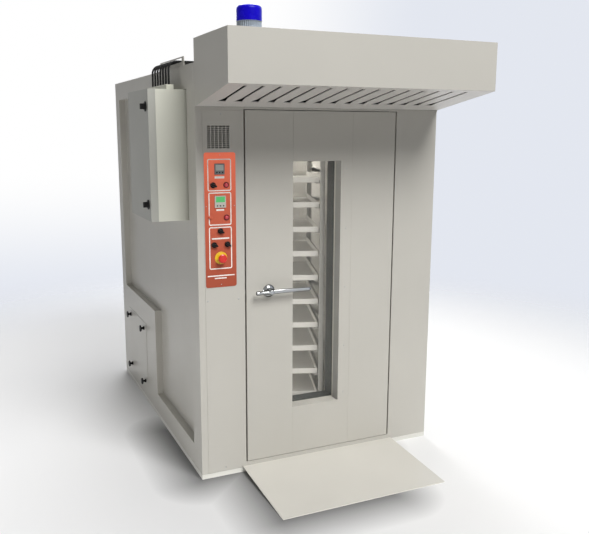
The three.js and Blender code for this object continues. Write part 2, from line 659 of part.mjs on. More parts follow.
function burnerBody() {
  const right = burner.left + burner.length;
  const half = burner.width / 2;
  const bottom = drum.z - burner.below;
  const body = slab([burner.left, right], [drumY - half, drumY + half], [bottom, bottom + burner.height]);
  const nose = drum.left - seat;
  const blast = rod("x", burner.tubeRadius, [right - cutPast, nose], [drumY, drum.z], 20);
  const flange = rod("x", burner.flangeRadius, [nose - burner.flange, nose], [drumY, drum.z], 20);
  const scrollAt = [burner.left + burner.scrollStart, drum.z];
  const scroll = rod("y", burner.scrollRadius, [drumY - half - burner.scrollProud, drumY], scrollAt, 24);
  return joined([body, blast, flange, scroll]);
}

function steamCascade() {
  const { left, right, top, wall, lip } = cascade;
  const cheeks = [[left, left + wall], [right - wall, right]].map((x) =>
    slab(x, [cascadeFront, cascadeBack], [wallFoot, top]),
  );
  const rise = (top - wallFoot) / cascade.shelves;
  const shelves = [];
  for (let i = 0; i < cascade.shelves; i++) {
    const z = wallFoot + i * rise;
    const trough = slab([left, right], [cascadeFront, cascadeBack], [z, z + lip]);
    const hollow = slab(
      [left + wall, right - wall], [cascadeFront + wall, cascadeBack - wall], [z + wall, z + lip + cutPast],
    );
    shelves.push(trough.subtract(hollow));
  }
  return joined([...cheeks, ...shelves]);
}

// ---------- control column ----------
const panelSpots = () => [
  ...Object.values(lampSpots),
  ...Object.values(selectorSpots),
  [startButton.x, startButton.z],
  [estop.x, estop.z],
];

function panelCuts(yRange) {
  const half = instrument.body / 2 + seat;
  const windows = [controllerAt, timerAt].map(({ x, z }) =>
    slab([x - half, x + half], yRange, [z - half, z + half]),
  );
  const holes = panelSpots().map(([x, z]) => rod("y", pilotHole, yRange, [x, z], 12));
  return [...windows, ...holes];
}

function columnCover() {
  const plate = slab([column.left, column.right], [coverFace, -seat], [column.bottom, column.top]);
  const pitchX = (vent.right - vent.left) / vent.columns;
  const pitchZ = (vent.top - vent.bottom) / vent.rows;
  const slots = [];
  for (let i = 0; i < vent.columns; i++)
    for (let j = 0; j < vent.rows; j++) {
      const x = vent.left + i * pitchX;
      const z = vent.bottom + j * pitchZ;
      slots.push(
        slab(
          [x + vent.bar / 2, x + pitchX - vent.bar / 2],
          [coverFace - cutPast, 0],
          [z + vent.bar / 2, z + pitchZ - vent.bar / 2],
        ),
      );
    }
  return less(plate, [...slots, ...panelCuts([coverFace - cutPast, 0])]);
}

function controlFascia() {
  const outline = roundedOutline(fascia.left, fascia.right, fascia.bottom, fascia.top, fascia.corner);
  const plate = prism(outline, "y", [fasciaFace, coverFace - seat]);
  return less(plate, panelCuts([fasciaFace - cutPast, coverFace]));
}

function panelInstrument({ x, z, width, height }) {
  const back = fasciaFace - seat;
  const bezel = slab(
    [x - width / 2, x + width / 2], [back - instrument.bezel, back], [z - height / 2, z + height / 2],
  );
  const { frame, recess, body } = instrument;
  const face = slab(
    [x - width / 2 + frame, x + width / 2 - frame],
    [back - instrument.bezel - cutPast, back - instrument.bezel + recess],
    [z - height / 2 + frame, z + height / 2 - frame],
  );
  const can = slab(
    [x - body / 2, x + body / 2], [back - cutPast, back + instrument.bodyDepth], [z - body / 2, z + body / 2],
  );
  return bezel.subtract(face).add(can);
}

// The lamp, switch and button solids are turned about +Z and then faced to the front, on the panel face.
function pilotLamp() {
  const stem = pilotHole - 2 * seat;
  return towardsFront(
    turned([
      [0, -lamp.body], [stem, -lamp.body], [stem, 0], [lamp.radius, 0], [lamp.radius, lamp.proud * 0.4],
      [lamp.radius * 0.8, lamp.proud * 0.4], [lamp.radius * 0.66, lamp.proud * 0.85], [0, lamp.proud],
    ]),
  );
}

function selectorKnob() {
  const { radius, flange, gripWidth, gripDepth, stem, stemLength } = selector;
  const disc = turned([
    [0, -stemLength], [stem, -stemLength], [stem, 0], [radius, 0], [radius * 0.9, flange], [0, flange],
  ]);
  const grip = prism(roundedOutline(-gripWidth / 2, gripWidth / 2, -radius, radius, gripWidth / 2 - 0.5), "z", [
    flange - cutPast, flange + gripDepth,
  ]);
  return towardsFront(disc.add(grip));
}

function pushButton() {
  const { radius, proud, rimLow, rimHigh, stemLength } = startButton;
  const stem = pilotHole - 2 * seat;
  return towardsFront(
    turned([
      [0, -stemLength], [stem, -stemLength], [stem, rimLow], [radius, rimHigh], [radius, rimHigh + proud * 0.7],
      [0, rimHigh + proud],
    ]),
  );
}

function estopBase() {
  const { plateRadius, plate, collar, collarDepth } = estop;
  const bore = mushroom.stem + 1;
  return towardsFront(
    turned(
      [
        [bore, 0], [plateRadius, 0], [plateRadius, plate], [collar, plate], [collar * 0.9, plate + collarDepth],
        [bore, plate + collarDepth], [bore, 0],
      ],
      28,
    ),
  );
}

function estopButton() {
  const { radius, head, stem, stemLength, stand } = mushroom;
  const under = estop.plate + estop.collarDepth + stand;
  return towardsFront(
    turned(
      [
        [0, -stemLength], [stem, -stemLength], [stem, under], [radius * 0.6, under],
        [radius, under + head * 0.35],
        [radius * 0.97, under + head * 0.65], [radius * 0.7, under + head * 0.95], [0, under + head],
      ],
      24,
    ),
  );
}

// ---------- hood and beacon ----------
const hoodSlope = (hood.frontBottom - hood.rearBottom) / hood.projection;
const underside = (y, lift = 0) => hood.rearBottom - y * hoodSlope + lift; // y is negative here

// The side outline of a hood solid: its foot follows the underside, raised by a lift, and its top is level.
function hoodSection(frontY, rearY, lift, level) {
  return [[frontY, underside(frontY, lift)], [rearY, underside(rearY, lift)], [rearY, level], [frontY, level]];
}

function hoodShell() {
  const { projection, top, ledge, lip, lipProud } = hood;
  const rear = -seat;
  const within = (inset) => [inset, cabinet.width - inset];
  const bed = baffle.thick + seat; // the baffle lies under the ledge, flush with the lower edges
  const body = prism(hoodSection(-projection, rear, 0, top), "x", within(0));
  const cavity = prism(hoodSection(skin - projection, rear - skin, bed + skin, top - skin), "x", within(skin));
  const bedCut = [
    [skin - projection, underside(skin - projection, -cutPast)],
    [rear - skin, underside(rear - skin, -cutPast)],
    [rear - skin, underside(rear - skin, bed)],
    [skin - projection, underside(skin - projection, bed)],
  ];
  const opening = hoodSection(ledge - projection, rear - ledge, 0, hood.frontBottom + bed + skin);
  const flange = slab(within(skin), [rear - lipProud, rear], [hood.rearBottom - lip, hood.rearBottom + skin]);
  return less(body, [cavity, prism(bedCut, "x", within(skin)), prism(opening, "x", within(ledge))]).add(flange);
}

function hoodBaffle() {
  const front = skin + seat - hood.projection;
  const rear = -2 * seat - skin - hood.lipProud;
  const { thick, first, pitch, count, slot, slotFront, slotRear, notch } = baffle;
  const side = [
    [front, underside(front)],
    [rear, underside(rear)],
    [rear, underside(rear, thick)],
    [front, underside(front, thick)],
  ];
  const plate = prism(side, "x", [skin + seat, cabinet.width - skin - seat]);
  const cuts = [];
  for (let i = 0; i < count; i++) {
    const x = first + i * pitch;
    const outline = [
      [x - slot / 2, -slotFront], [x + slot / 2, -slotFront], [x + slot / 2, -slotRear - notch],
      [x + notch, -slotRear], [x - notch, -slotRear], [x - slot / 2, -slotRear - notch],
    ];
    cuts.push(prism(outline, "z", [hood.rearBottom - cutPast, hood.frontBottom + thick + cutPast]));
  }
  return less(plate, cuts);
}

function beaconBase() {
  const { radius, baseHeight, ribs, ribDepth } = beacon;
  const outline = [];
  for (let i = 0; i < 4 * ribs; i++) {
    const angle = (Math.PI * i) / (2 * ribs);
    const r = i % 4 < 2 ? radius : radius - ribDepth;
    outline.push([beacon.x + r * Math.cos(angle), -beacon.y + r * Math.sin(angle)]);
  }
  return prism(outline, "z", [hood.top + seat, hood.top + seat + baseHeight]);
}

function beaconDome() {
  const { radius, domeHeight } = beacon;
  const foot = hood.top + 2 * seat + beacon.baseHeight;
  const dome = turned(
    [
      [0, 0], [radius + 1, 0], [radius + 1, domeHeight * 0.08], [radius - 3, domeHeight * 0.12],
      [radius - 4, domeHeight * 0.8], [radius * 0.85, domeHeight * 0.93], [radius * 0.6, domeHeight * 0.99],
      [0, domeHeight],
    ],
    28,
  );
  return moved(dome, beacon.x, -beacon.y, foot);
}

function loadingRamp() {
  const middle = doorMiddle;
  const { width, length, rearHeight, frontHeight, plate, toe, ribInset, rib, ribToe } = ramp;
  const rear = -seat;
  const deck = prism(
    [[-length, 0], [-length, frontHeight], [rear, rearHeight], [rear, rearHeight - plate], [toe - length, 0]],
    "x",
    [middle - width / 2, middle + width / 2],
  );
  const ribs = [-1, 0, 1].map((side) => {
    const x = middle + side * (width / 2 - ribInset);
    const start = ribToe - length;
    return prism(
      [[start, 0], [start, frontHeight / 2], [rear, rearHeight - plate / 2], [rear, 0]],
      "x",
      [x - rib / 2, x + rib / 2],
    );
  });
  return joined([deck, ...ribs]);
}

// ---------- electrical box and conduits ----------
const boxBack = sides.recess - seat;
const boxFace = -box.outer + box.lid + seat; // x where the box body ends and the lid begins
const boxRear = box.front + box.depth;
const hingeAt = { x: boxFace - seat / 2, y: boxRear + boxHinge.radius + boxHinge.offset };
const hingeHeights = [box.bottom + boxHinge.endInset, boxTop - boxHinge.endInset];

// One knuckle of each hinge, with the tab that carries it: the lower half on the box, the upper on the lid.
function hingeKnuckles(side) {
  return hingeHeights.flatMap((z) => {
    const half = boxHinge.length / 2;
    const span = side > 0 ? [z + seat, z + half] : [z - half, z];
    const tabX = side > 0 ? [hingeAt.x - 4.3, hingeAt.x - 0.6] : [hingeAt.x + 0.6, hingeAt.x + 4.3];
    return [
      rod("z", boxHinge.radius, span, [hingeAt.x, hingeAt.y], 12),
      slab(tabX, [boxRear - 1, hingeAt.y], span),
    ];
  });
}

// The open-topped collar on the box that the conduits rise from.
function conduitCollar() {
  const reach = conduit.radius + gland.margin + seat;
  const outline = (extra) => [
    [-conduit.x - reach - extra, -conduit.x + reach + extra],
    [conduit.first - reach - extra, lastConduit() + reach + extra],
  ];
  const outer = slab(...outline(gland.wall), [boxTop - box.skin, boxTop + gland.height]);
  return outer.subtract(slab(...outline(0), [boxTop, boxTop + gland.height + cutPast]));
}

function electricalBox() {
  const wall = box.skin;
  const body = slab([boxFace, boxBack], [box.front, boxRear], [box.bottom, boxTop]);
  const inside = slab(
    [boxFace - cutPast, boxBack - wall], [box.front + wall, boxRear - wall], [box.bottom + wall, boxTop - wall],
  );
  return joined([body.subtract(inside), conduitCollar(), ...hingeKnuckles(-1)]);
}

function electricalBoxDoor() {
  const wall = box.skin;
  const body = slab([-box.outer, boxFace - seat], [box.front, boxRear], [box.bottom, boxTop]);
  const inside = slab(
    [-box.outer + wall, boxFace + cutPast],
    [box.front + wall, boxRear - wall],
    [box.bottom + wall, boxTop - wall],
  );
  const studSpan = [-box.outer - cutPast, -box.outer + 2 * wall];
  const studs = boxLatchHeights().map((z) =>
    rod("x", boxLatch.stem + seat, studSpan, [box.front + boxLatch.inset, z], 12),
  );
  return joined([less(body, [inside, ...studs]), ...hingeKnuckles(1)]);
}

const boxLatchHeights = () => [box.bottom + boxLatch.endInset, boxTop - boxLatch.endInset];

function quarterTurnLatch() {
  const { radius, plate, boss, bossDepth, wing, wingDepth, stem, inside } = boxLatch;
  const bossTop = plate + bossDepth;
  const base = turned(
    [
      [0, -inside], [stem, -inside], [stem, 0], [radius, 0], [radius * 0.94, plate], [boss, plate],
      [boss * 0.8, bossTop], [0, bossTop],
    ],
    20,
  );
  const half = wing / 2;
  const grip = roundedOutline(-boss * 0.8, boss * 0.8, -half, half, half - 0.5);
  const bar = prism(grip, "z", [bossTop - cutPast, plate + wingDepth]);
  return towardsLeft(base.add(bar));
}

function contactorRail() {
  const wallFace = boxBack - box.skin - seat;
  const y = [box.front + wiring.inset, boxRear - wiring.inset];
  const z = [box.bottom + wiring.inset, boxTop - wiring.inset];
  const parts = [slab([wallFace - wiring.plate, wallFace], y, z)];
  const rowPitch = (z[1] - z[0]) / wiring.rows;
  const devicePitch = (y[1] - y[0]) / wiring.devices;
  for (let i = 0; i < wiring.rows; i++)
    for (let j = 0; j < wiring.devices; j++) {
      const cy = y[0] + (j + 0.5) * devicePitch;
      const cz = z[0] + (i + 0.5) * rowPitch;
      parts.push(
        slab(
          [wallFace - wiring.deviceDepth, wallFace - wiring.plate / 2],
          [cy - wiring.deviceWidth / 2, cy + wiring.deviceWidth / 2],
          [cz - wiring.deviceHeight / 2, cz + wiring.deviceHeight / 2],
        ),
      );
    }
  return joined(parts);
}

const lastConduit = () => conduit.first + (conduit.count - 1) * conduit.pitch;

// A route through stations that are sampled exactly, so straight stretches cost no extra rings.
class StationPath extends THREE.Curve {
  constructor(stations) {
    super();
    this.stations = stations;
  }
  getPoint(t, target = new THREE.Vector3()) {
    const last = this.stations.length - 1;
    return target.copy(this.stations[Math.min(last, Math.round(t * last))]);
  }
  getPointAt(t, target) {
    return this.getPoint(t, target);
  }
  getTangentAt(t, target = new THREE.Vector3()) {
    const last = this.stations.length - 1;
    const i = Math.min(last, Math.round(t * last));
    const after = this.stations[Math.min(last, i + 1)];
    return target.copy(after).sub(this.stations[Math.max(0, i - 1)]).normalize();
  }
}

function conduitTube(y) {
  const { bend, x, run, radius } = conduit;
  const foot = boxTop + seat + gland.height / 2;
  const stations = [new THREE.Vector3(-x, y, foot)];
  for (let i = 0; i <= conduit.bendSteps; i++) {
    const angle = (Math.PI / 2) * (i / conduit.bendSteps);
    const inwards = bend * (1 - Math.cos(angle));
    stations.push(new THREE.Vector3(inwards - x, y, conduitTop - bend * (1 - Math.sin(angle))));
  }
  stations.push(new THREE.Vector3(run - seat, y, conduitTop));
  const section = new THREE.Shape();
  section.absarc(0, 0, radius, 0, 2 * Math.PI);
  const points = section.getSpacedPoints(conduit.sides).slice(0, conduit.sides);
  const tube = new THREE.ExtrudeGeometry(new THREE.Shape(points), {
    steps: stations.length - 1,
    extrudePath: new StationPath(stations),
    bevelEnabled: false,
  });
  return solid(tube);
}

function cableConduits() {
  const reach = conduit.radius + gland.margin;
  const block = slab(
    [-conduit.x - reach, -conduit.x + reach],
    [conduit.first - reach, lastConduit() + reach],
    [boxTop + seat, boxTop + gland.height - gland.sunk],
  );
  const tubes = Array.from({ length: conduit.count }, (_, i) => conduitTube(conduit.first + i * conduit.pitch));
  return joined([block, ...tubes]);
}

// ---------- burner access panel ----------
const knobSpots = () => [
  [accessKnob.front, accessKnob.low], [accessKnob.front, accessKnob.high],
  [accessKnob.back, accessKnob.low], [accessKnob.back, accessKnob.high],
];

function accessPanel() {
  const plate = slab([-seat - skin, -seat], [access.front, access.back], [access.bottom, access.top]);
  const holes = knobSpots().map(([y, z]) =>
    rod("x", accessKnob.stem + accessKnob.play, [-2 * skin, cutPast], [y, z], 12),
  );
  return less(plate, holes);
}

function accessKnobBody() {
  const { head, headDepth, footDepth, reach, stem, inside } = accessKnob;
  const face = seat + skin + seat;
  const foot = stem * 1.55;
  return towardsLeft(
    turned(
      [
        [0, -inside], [stem, -inside], [stem, face], [foot, face], [foot, face + footDepth / 2],
        [stem * 0.8, face + footDepth], [stem * 0.8, reach - headDepth], [head, reach - headDepth * 0.7],
        [head, reach - headDepth * 0.2], [0, reach],
      ],
      16,
    ),
  );
}

// ---------- door ----------
function doorShell() {
  const { left, bottom, top, slabDepth, depth, step } = door;
  const slabBody = slab([left, doorRight], [0, slabDepth], [bottom, top]);
  const rear = slab([left + step, doorRight - step], [slabDepth - cutPast, depth], [bottom + step, top - step]);
  const hollow = slab(
    [left + step + skin, doorRight - step - skin],
    [skin, depth + cutPast],
    [bottom + step + skin, top - step - skin],
  );
  const wall = glazing.frame;
  const tunnel = slab(
    [glazing.left - wall, glazing.right + wall],
    [0, glazing.outerAt],
    [glazing.bottom - wall, glazing.top + wall],
  );
  const retainer = slab(
    [glazing.right, strip.right], [-strip.proud, skin], [glazing.bottom - wall, glazing.top + wall / 6],
  );
  const pins = [[bottom - pivot.length, bottom + skin], [top - skin, top + pivot.length]].map((z) =>
    rod("z", pivot.radius, z, [pivotAt.x, pivotAt.y], 16),
  );
  const halfBlock = pivot.block / 2;
  const pinBlocks = [[bottom, bottom + pivot.blockRise], [top - pivot.blockRise, top]].map((z) =>
    slab([pivotAt.x - halfBlock, pivotAt.x + halfBlock], [0, slabDepth], z),
  );
  const sight = slab([glazing.left, glazing.right], [-2 * strip.proud, depth], [glazing.bottom, glazing.top]);
  const seamY = [-2 * strip.proud, strip.seamDepth];
  const seams = [glazing.left, strip.right].map((x) =>
    slab([x - strip.seam / 2, x + strip.seam / 2], seamY, [bottom - cutPast, top + cutPast]),
  );
  const spindleHole = rod("y", handle.spindle + seat, [-cutPast, 2 * skin], [handle.x, handle.z], 12);
  const halfLatch = latch.height / 2 + seat;
  const latchSlot = slab(
    [left - cutPast, left + step + 2 * skin],
    [pivot.depth - latch.depth / 2 - seat, pivot.depth + latch.depth / 2 + seat],
    [handle.z - halfLatch, handle.z + halfLatch],
  );
  const body = joined([slabBody, rear]).subtract(hollow);
  const leaf = joined([body, tunnel, retainer, ...pinBlocks, ...pins]);
  return less(leaf, [sight, ...seams, spindleHole, latchSlot]);
}

// The inner pan: a flange behind the leaf, the insulated plug and the frame that holds the inner pane.
function doorLiner() {
  const { left, bottom, top, step, plugInset, plugDepth, depth } = door;
  const flangeFront = depth + seat;
  const flange = slab([left + step, doorRight - step], [flangeFront, plateBack], [bottom + step, top - step]);
  const plugBox = (inset) => [
    [left + plugInset + inset, doorRight - plugInset - inset],
    [bottom + step + inset, top - plugInset - inset],
  ];
  const [plugX, plugZ] = plugBox(0);
  const [innerX, innerZ] = plugBox(skin);
  const plug = slab(plugX, [flangeFront, plugDepth], plugZ);
  const hollow = slab(innerX, [flangeFront - cutPast, plugDepth - skin], innerZ);
  const wall = glazing.frame;
  const frame = slab(
    [glazing.left - wall, glazing.right + wall],
    [flangeFront, plugDepth - skin / 2],
    [glazing.bottom - wall, glazing.top + wall],
  );
  const play = glazing.sleeve + seat;
  const sight = slab(
    [glazing.left - play, glazing.right + play],
    [flangeFront - cutPast, plugDepth + cutPast],
    [glazing.bottom - play, glazing.top + play],
  );
  const lap = glazing.lap + seat;
  const paneBed = slab(
    [glazing.left - lap, glazing.right + lap],
    [plugDepth - skin - glazing.pane - 2 * seat, plugDepth - skin],
    [glazing.bottom - lap, glazing.top + lap],
  );
  return less(joined([joined([flange, plug]).subtract(hollow), frame]), [sight, paneBed]);
}

function pane(yFront) {
  const { left, right, bottom, top, lap, pane: thick } = glazing;
  return slab([left - lap, right + lap], [yFront, yFront + thick], [bottom - lap, top + lap]);
}

// The dark sleeve that holds the two panes apart.
function windowSpacer() {
  const { left, right, bottom, top, sleeve } = glazing;
  const y = [door.depth + seat, innerPaneFront - seat];
  const outer = slab([left - sleeve, right + sleeve], y, [bottom - sleeve, top + sleeve]);
  return outer.subtract(slab([left, right], [y[0] - cutPast, y[1] + cutPast], [bottom, top]));
}

function doorGasket() {
  const { left, bottom, top, sealInset, sealWidth, sealDepth, step } = door;
  const y = [plateBack + seat, plateBack + seat + sealDepth];
  const outer = slab([left + sealInset, doorRight - sealInset], y, [bottom + step, top - sealInset]);
  const inner = slab(
    [left + sealInset + sealWidth, doorRight - sealInset - sealWidth],
    [y[0] - cutPast, y[1] + cutPast],
    [bottom, top - sealInset - sealWidth],
  );
  return outer.subtract(inner);
}

function handleRosette() {
  const { roseRadius, roseDepth, hubRadius } = handle;
  const bore = hubRadius + seat;
  const ring = turned(
    [
      [bore, 0], [roseRadius, 0], [roseRadius, roseDepth * 0.35], [roseRadius * 0.8, roseDepth * 0.8],
      [roseRadius * 0.62, roseDepth], [bore, roseDepth], [bore, 0],
    ],
    28,
  );
  return moved(towardsFront(ring), handle.x, -seat, handle.z);
}

function handleLever() {
  const { hubRadius, reach, leverLength, leverHeight, leverDepth, barrel, barrelRadius } = handle;
  const { spindle, inside, crown } = handle;
  const hub = towardsFront(
    turned(
      [
        [0, -inside], [spindle, -inside], [spindle, seat], [hubRadius, seat], [hubRadius, reach],
        [hubRadius * 0.7, reach + crown], [0, reach + crown],
      ],
      20,
    ),
  );
  const half = leverHeight / 2;
  const outline = roundedOutline(-half, leverLength, -half, half, half - 0.5);
  const grip = prism(outline, "y", [-reach, leverDepth - reach]);
  const knob = rod("x", barrelRadius, [-barrel, 0], [-reach + leverDepth / 2, 0], 16);
  return joined([hub, grip, knob]);
}

function latchBolt() {
  const y = [pivot.depth - latch.depth / 2, pivot.depth + latch.depth / 2];
  return slab(
    [door.left - latch.proud, door.left - latch.proud + latch.length], y,
    [handle.z - latch.height / 2, handle.z + latch.height / 2],
  );
}

// ---------- assembly ----------
const oven = new THREE.Group();
oven.name = "rotating_rack_oven";
const body = new THREE.Group();
body.position.set(-cabinet.width / 2, -cabinet.depth / 2, 0);
oven.add(body);

const cabinetPieces = [
  ["base_frame", baseFrame(), palette.shell()],
  ["front_frame", frontFrame(), palette.shell()],
  ["left_side_panel", leftSidePanel(), palette.shell()],
  ["right_side_panel", rightSidePanel(), palette.shell()],
  ["back_panel", backPanel(), palette.shell()],
  ["roof_panel", roofPanel(), palette.shell()],
  ["control_column_cover", columnCover(), palette.shell()],
  ["chamber_liner", chamberLiner(), palette.steel()],
  ["turntable_bearing", turntableBearing(), palette.iron()],
  ["rack_gearmotor", rackGearmotor(), palette.iron()],
  ["fan_motor", fanMotorBody(), palette.iron()],
  ["heat_exchanger", heatExchanger(), palette.steel()],
  ["burner", burnerBody(), palette.red()],
  ["steam_cascade", steamCascade(), palette.iron()],
  ["loading_ramp", loadingRamp(), palette.shell()],
  ["hood_shell", hoodShell(), palette.shell()],
  ["hood_baffle", hoodBaffle(), palette.steel()],
  ["beacon_base", beaconBase(), palette.dark()],
  ["beacon_dome", beaconDome(), palette.blue()],
  ["control_fascia", controlFascia(), palette.orange()],
  ["temperature_controller", panelInstrument(controllerAt), palette.dark()],
  ["bake_timer", panelInstrument(timerAt), palette.dark()],
  ["electrical_box", electricalBox(), palette.shell()],
  ["contactor_rail", contactorRail(), palette.dark()],
  ["cable_conduits", cableConduits(), palette.black()],
  ["electrical_box_door", electricalBoxDoor(), palette.shell()],
  ["access_panel", accessPanel(), palette.shell()],
  ["door_shell", doorShell(), palette.shell()],
  ["door_liner", doorLiner(), palette.steel()],
  ["outer_glass", pane(glazing.outerAt + seat), palette.clear()],
  ["inner_glass", pane(innerPaneFront), palette.clear()],
  ["window_spacer", windowSpacer(), palette.dark()],
  ["door_gasket", doorGasket(), palette.rubber()],
  ["handle_rosette", handleRosette(), palette.chrome()],
  ["latch_bolt", latchBolt(), palette.steel()],
];
for (const [name, whole, material] of cabinetPieces) body.add(meshOf(name, whole, material));

function place(mesh, x, y, z) {
  mesh.position.set(x, y, z);
  body.add(mesh);
}

const panelFace = fasciaFace - seat;
for (const [name, [x, z]] of Object.entries(lampSpots))
  place(meshOf(name, pilotLamp(), palette.red()), x, panelFace, z);
for (const [name, [x, z]] of Object.entries(selectorSpots))
  place(meshOf(name, selectorKnob(), palette.black()), x, panelFace, z);
place(meshOf("start_button", pushButton(), palette.orange()), startButton.x, panelFace, startButton.z);
place(meshOf("estop_base", estopBase(), palette.yellow()), estop.x, panelFace, estop.z);
place(meshOf("estop_button", estopButton(), palette.red()), estop.x, panelFace, estop.z);
place(meshOf("handle_lever", handleLever(), palette.chrome()), handle.x, -seat, handle.z);

boxLatchHeights().forEach((z, i) => {
  const name = ["box_latch_lower", "box_latch_upper"][i];
  place(meshOf(name, quarterTurnLatch(), palette.black()), -box.outer - seat, box.front + boxLatch.inset, z);
});
knobSpots().forEach(([y, z], i) =>
  place(meshOf(`access_knob_${i + 1}`, accessKnobBody(), palette.black()), 0, y, z),
);

const impeller = meshOf("fan_impeller", fanImpeller(), palette.steel());
place(impeller, fan.x, fanY, 0);

const turningRack = new THREE.Group();
turningRack.position.set(rotor.x, rotor.y, 0);
turningRack.rotation.z = THREE.MathUtils.degToRad(rotor.turn);
body.add(turningRack);
turningRack.add(meshOf("turntable", turntable(), palette.steel()));
turningRack.add(meshOf("rack_frame", rackFrame(), palette.steel()));
turningRack.add(meshOf("tray_stack", trayStack(), palette.steel()));
turningRack.add(meshOf("drive_fork", driveFork(), palette.steel()));
castorSpots().forEach(([x, y], i) => {
  const wheel = meshOf(`castor_wheel_${i + 1}`, castorWheel(), palette.black());
  wheel.position.set(x, y, wheelAxle);
  turningRack.add(wheel);
});

export default oven;
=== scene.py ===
import json
import math

import bpy
import numpy as np
from mathutils import Euler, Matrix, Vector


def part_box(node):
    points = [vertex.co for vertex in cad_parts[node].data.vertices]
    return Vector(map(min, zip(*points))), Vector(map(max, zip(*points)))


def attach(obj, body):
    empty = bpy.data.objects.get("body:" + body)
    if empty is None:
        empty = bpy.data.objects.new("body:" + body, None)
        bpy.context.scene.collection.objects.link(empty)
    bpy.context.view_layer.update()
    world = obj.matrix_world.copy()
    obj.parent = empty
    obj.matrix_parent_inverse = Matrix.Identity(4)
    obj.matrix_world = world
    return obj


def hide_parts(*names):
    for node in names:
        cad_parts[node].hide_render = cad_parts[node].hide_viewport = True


# A rotating rack oven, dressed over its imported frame. Places are given as on the workshop
# drawing: x from the cabinet's left face, y from its front face, z from the floor, in mm.
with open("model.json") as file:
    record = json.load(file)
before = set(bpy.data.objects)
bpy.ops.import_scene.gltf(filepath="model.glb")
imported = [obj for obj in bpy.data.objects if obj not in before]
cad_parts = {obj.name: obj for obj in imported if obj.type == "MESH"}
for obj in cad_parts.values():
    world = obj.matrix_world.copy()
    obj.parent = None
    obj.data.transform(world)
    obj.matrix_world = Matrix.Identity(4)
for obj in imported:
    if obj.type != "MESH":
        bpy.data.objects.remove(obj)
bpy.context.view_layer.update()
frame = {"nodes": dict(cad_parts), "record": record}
nodes = frame["nodes"]
cabinet = {"width": 1505, "depth": 2095}


def fromDrawing(points):
    # Shifts drawing places in mm to row-frame metres.
    shift = np.array([cabinet["width"] / 2, cabinet["depth"] / 2, 0.0])
    return (np.asarray(points, float) - shift) / 1000.0


cameraSetup = {
    "location": (-1.867, -4.755, 1.969),
    "yaw": 24.44,  # degrees to the right of straight ahead
    "pitch": 10.79,  # degrees down
    "roll": -0.24,
    "lens": 44.34,
}


def placeCamera(setup):
    data = bpy.data.cameras.new("cameraMain")
    data.lens = setup["lens"]
    data.sensor_width = 36.0
    data.clip_end = 60.0
    camera = bpy.data.objects.new("cameraMain", data)
    turn = Euler(
        (math.radians(90 - setup["pitch"]), 0.0, math.radians(-setup["yaw"])), "XYZ"
    ).to_matrix()
    roll = Euler((0.0, 0.0, math.radians(-setup["roll"])), "XYZ").to_matrix()
    camera.rotation_euler = (turn @ roll).to_euler()
    camera.location = setup["location"]
    bpy.context.scene.collection.objects.link(camera)
    bpy.context.scene.camera = camera


placeCamera(cameraSetup)
bpy.context.scene.view_settings.view_transform = "Standard"
print("camera placed")

lampSetup = {  # place, aimed at, size, power in watts, colour
    "keyFront": ((1.3, -9.0, 9.7), (0.0, -1.1, 1.0), 6.4, 1460, (1.0, 0.998, 0.992)),
    "topSoft": ((0.4, 1.6, 6.6), (0.0, 0.2, 0.0), 3.8, 170, (1.0, 1.0, 1.0)),
    "leftLow": ((-5.8, -2.6, 0.6), (-0.8, 0.1, 0.4), 2.6, 62, (1.0, 1.0, 1.0)),
    "backSoft": ((1.2, 6.2, 4.6), (0.0, 1.0, 1.2), 3.4, 190, (0.98, 0.99, 1.0)),
}
chamberColour = (1.0, 0.975, 0.93)
chamberLights = {  # inside the oven: place, width, length, power, turn
    "ceilingLight": ((0.0, 0.05, 2.03), 0.8, 0.07, 12.0, (math.radians(8), 0.0, 0.0)),
    "doorLight": ((-0.04, -0.84, 1.10), 0.28, 1.6, 2.1, (math.pi / 2, 0.0, 0.0)),
    "sideLight": ((-0.40, -0.42, 1.05), 0.5, 1.6, 21.0, (math.pi / 2, 0.0, -math.pi / 2)),
}


def addLamp(name, shape, size, power, colour, place, turn):
    data = bpy.data.lights.new(name, "AREA")
    data.shape = shape
    data.size = size[0]
    data.size_y = size[1]
    data.energy = power
    data.color = colour
    lamp = bpy.data.objects.new(name, data)
    lamp.location = place
    lamp.rotation_euler = turn
    lamp.visible_camera = False  # the disc itself is out of the picture, its light stays
    bpy.context.scene.collection.objects.link(lamp)
    return lamp


def aimedTurn(place, target):
    # The lamp's own minus z looks along the line from its place to the target.
    aim = np.array(target) - np.array(place)
    yaw = math.atan2(aim[1], aim[0])
    drop = math.atan2(-aim[2], math.hypot(aim[0], aim[1]))
    return (math.pi / 2 - drop, 0.0, yaw - math.pi / 2)


for lampName, (place, target, size, power, colour) in lampSetup.items():
    addLamp(lampName, "DISK", (size, size), power, colour, place, aimedTurn(place, target))
for lampName, (place, width, length, power, turn) in chamberLights.items():
    lamp = addLamp(lampName, "RECTANGLE", (width, length), power, chamberColour, place, turn)
    lamp.visible_glossy = False
print("lamps placed")


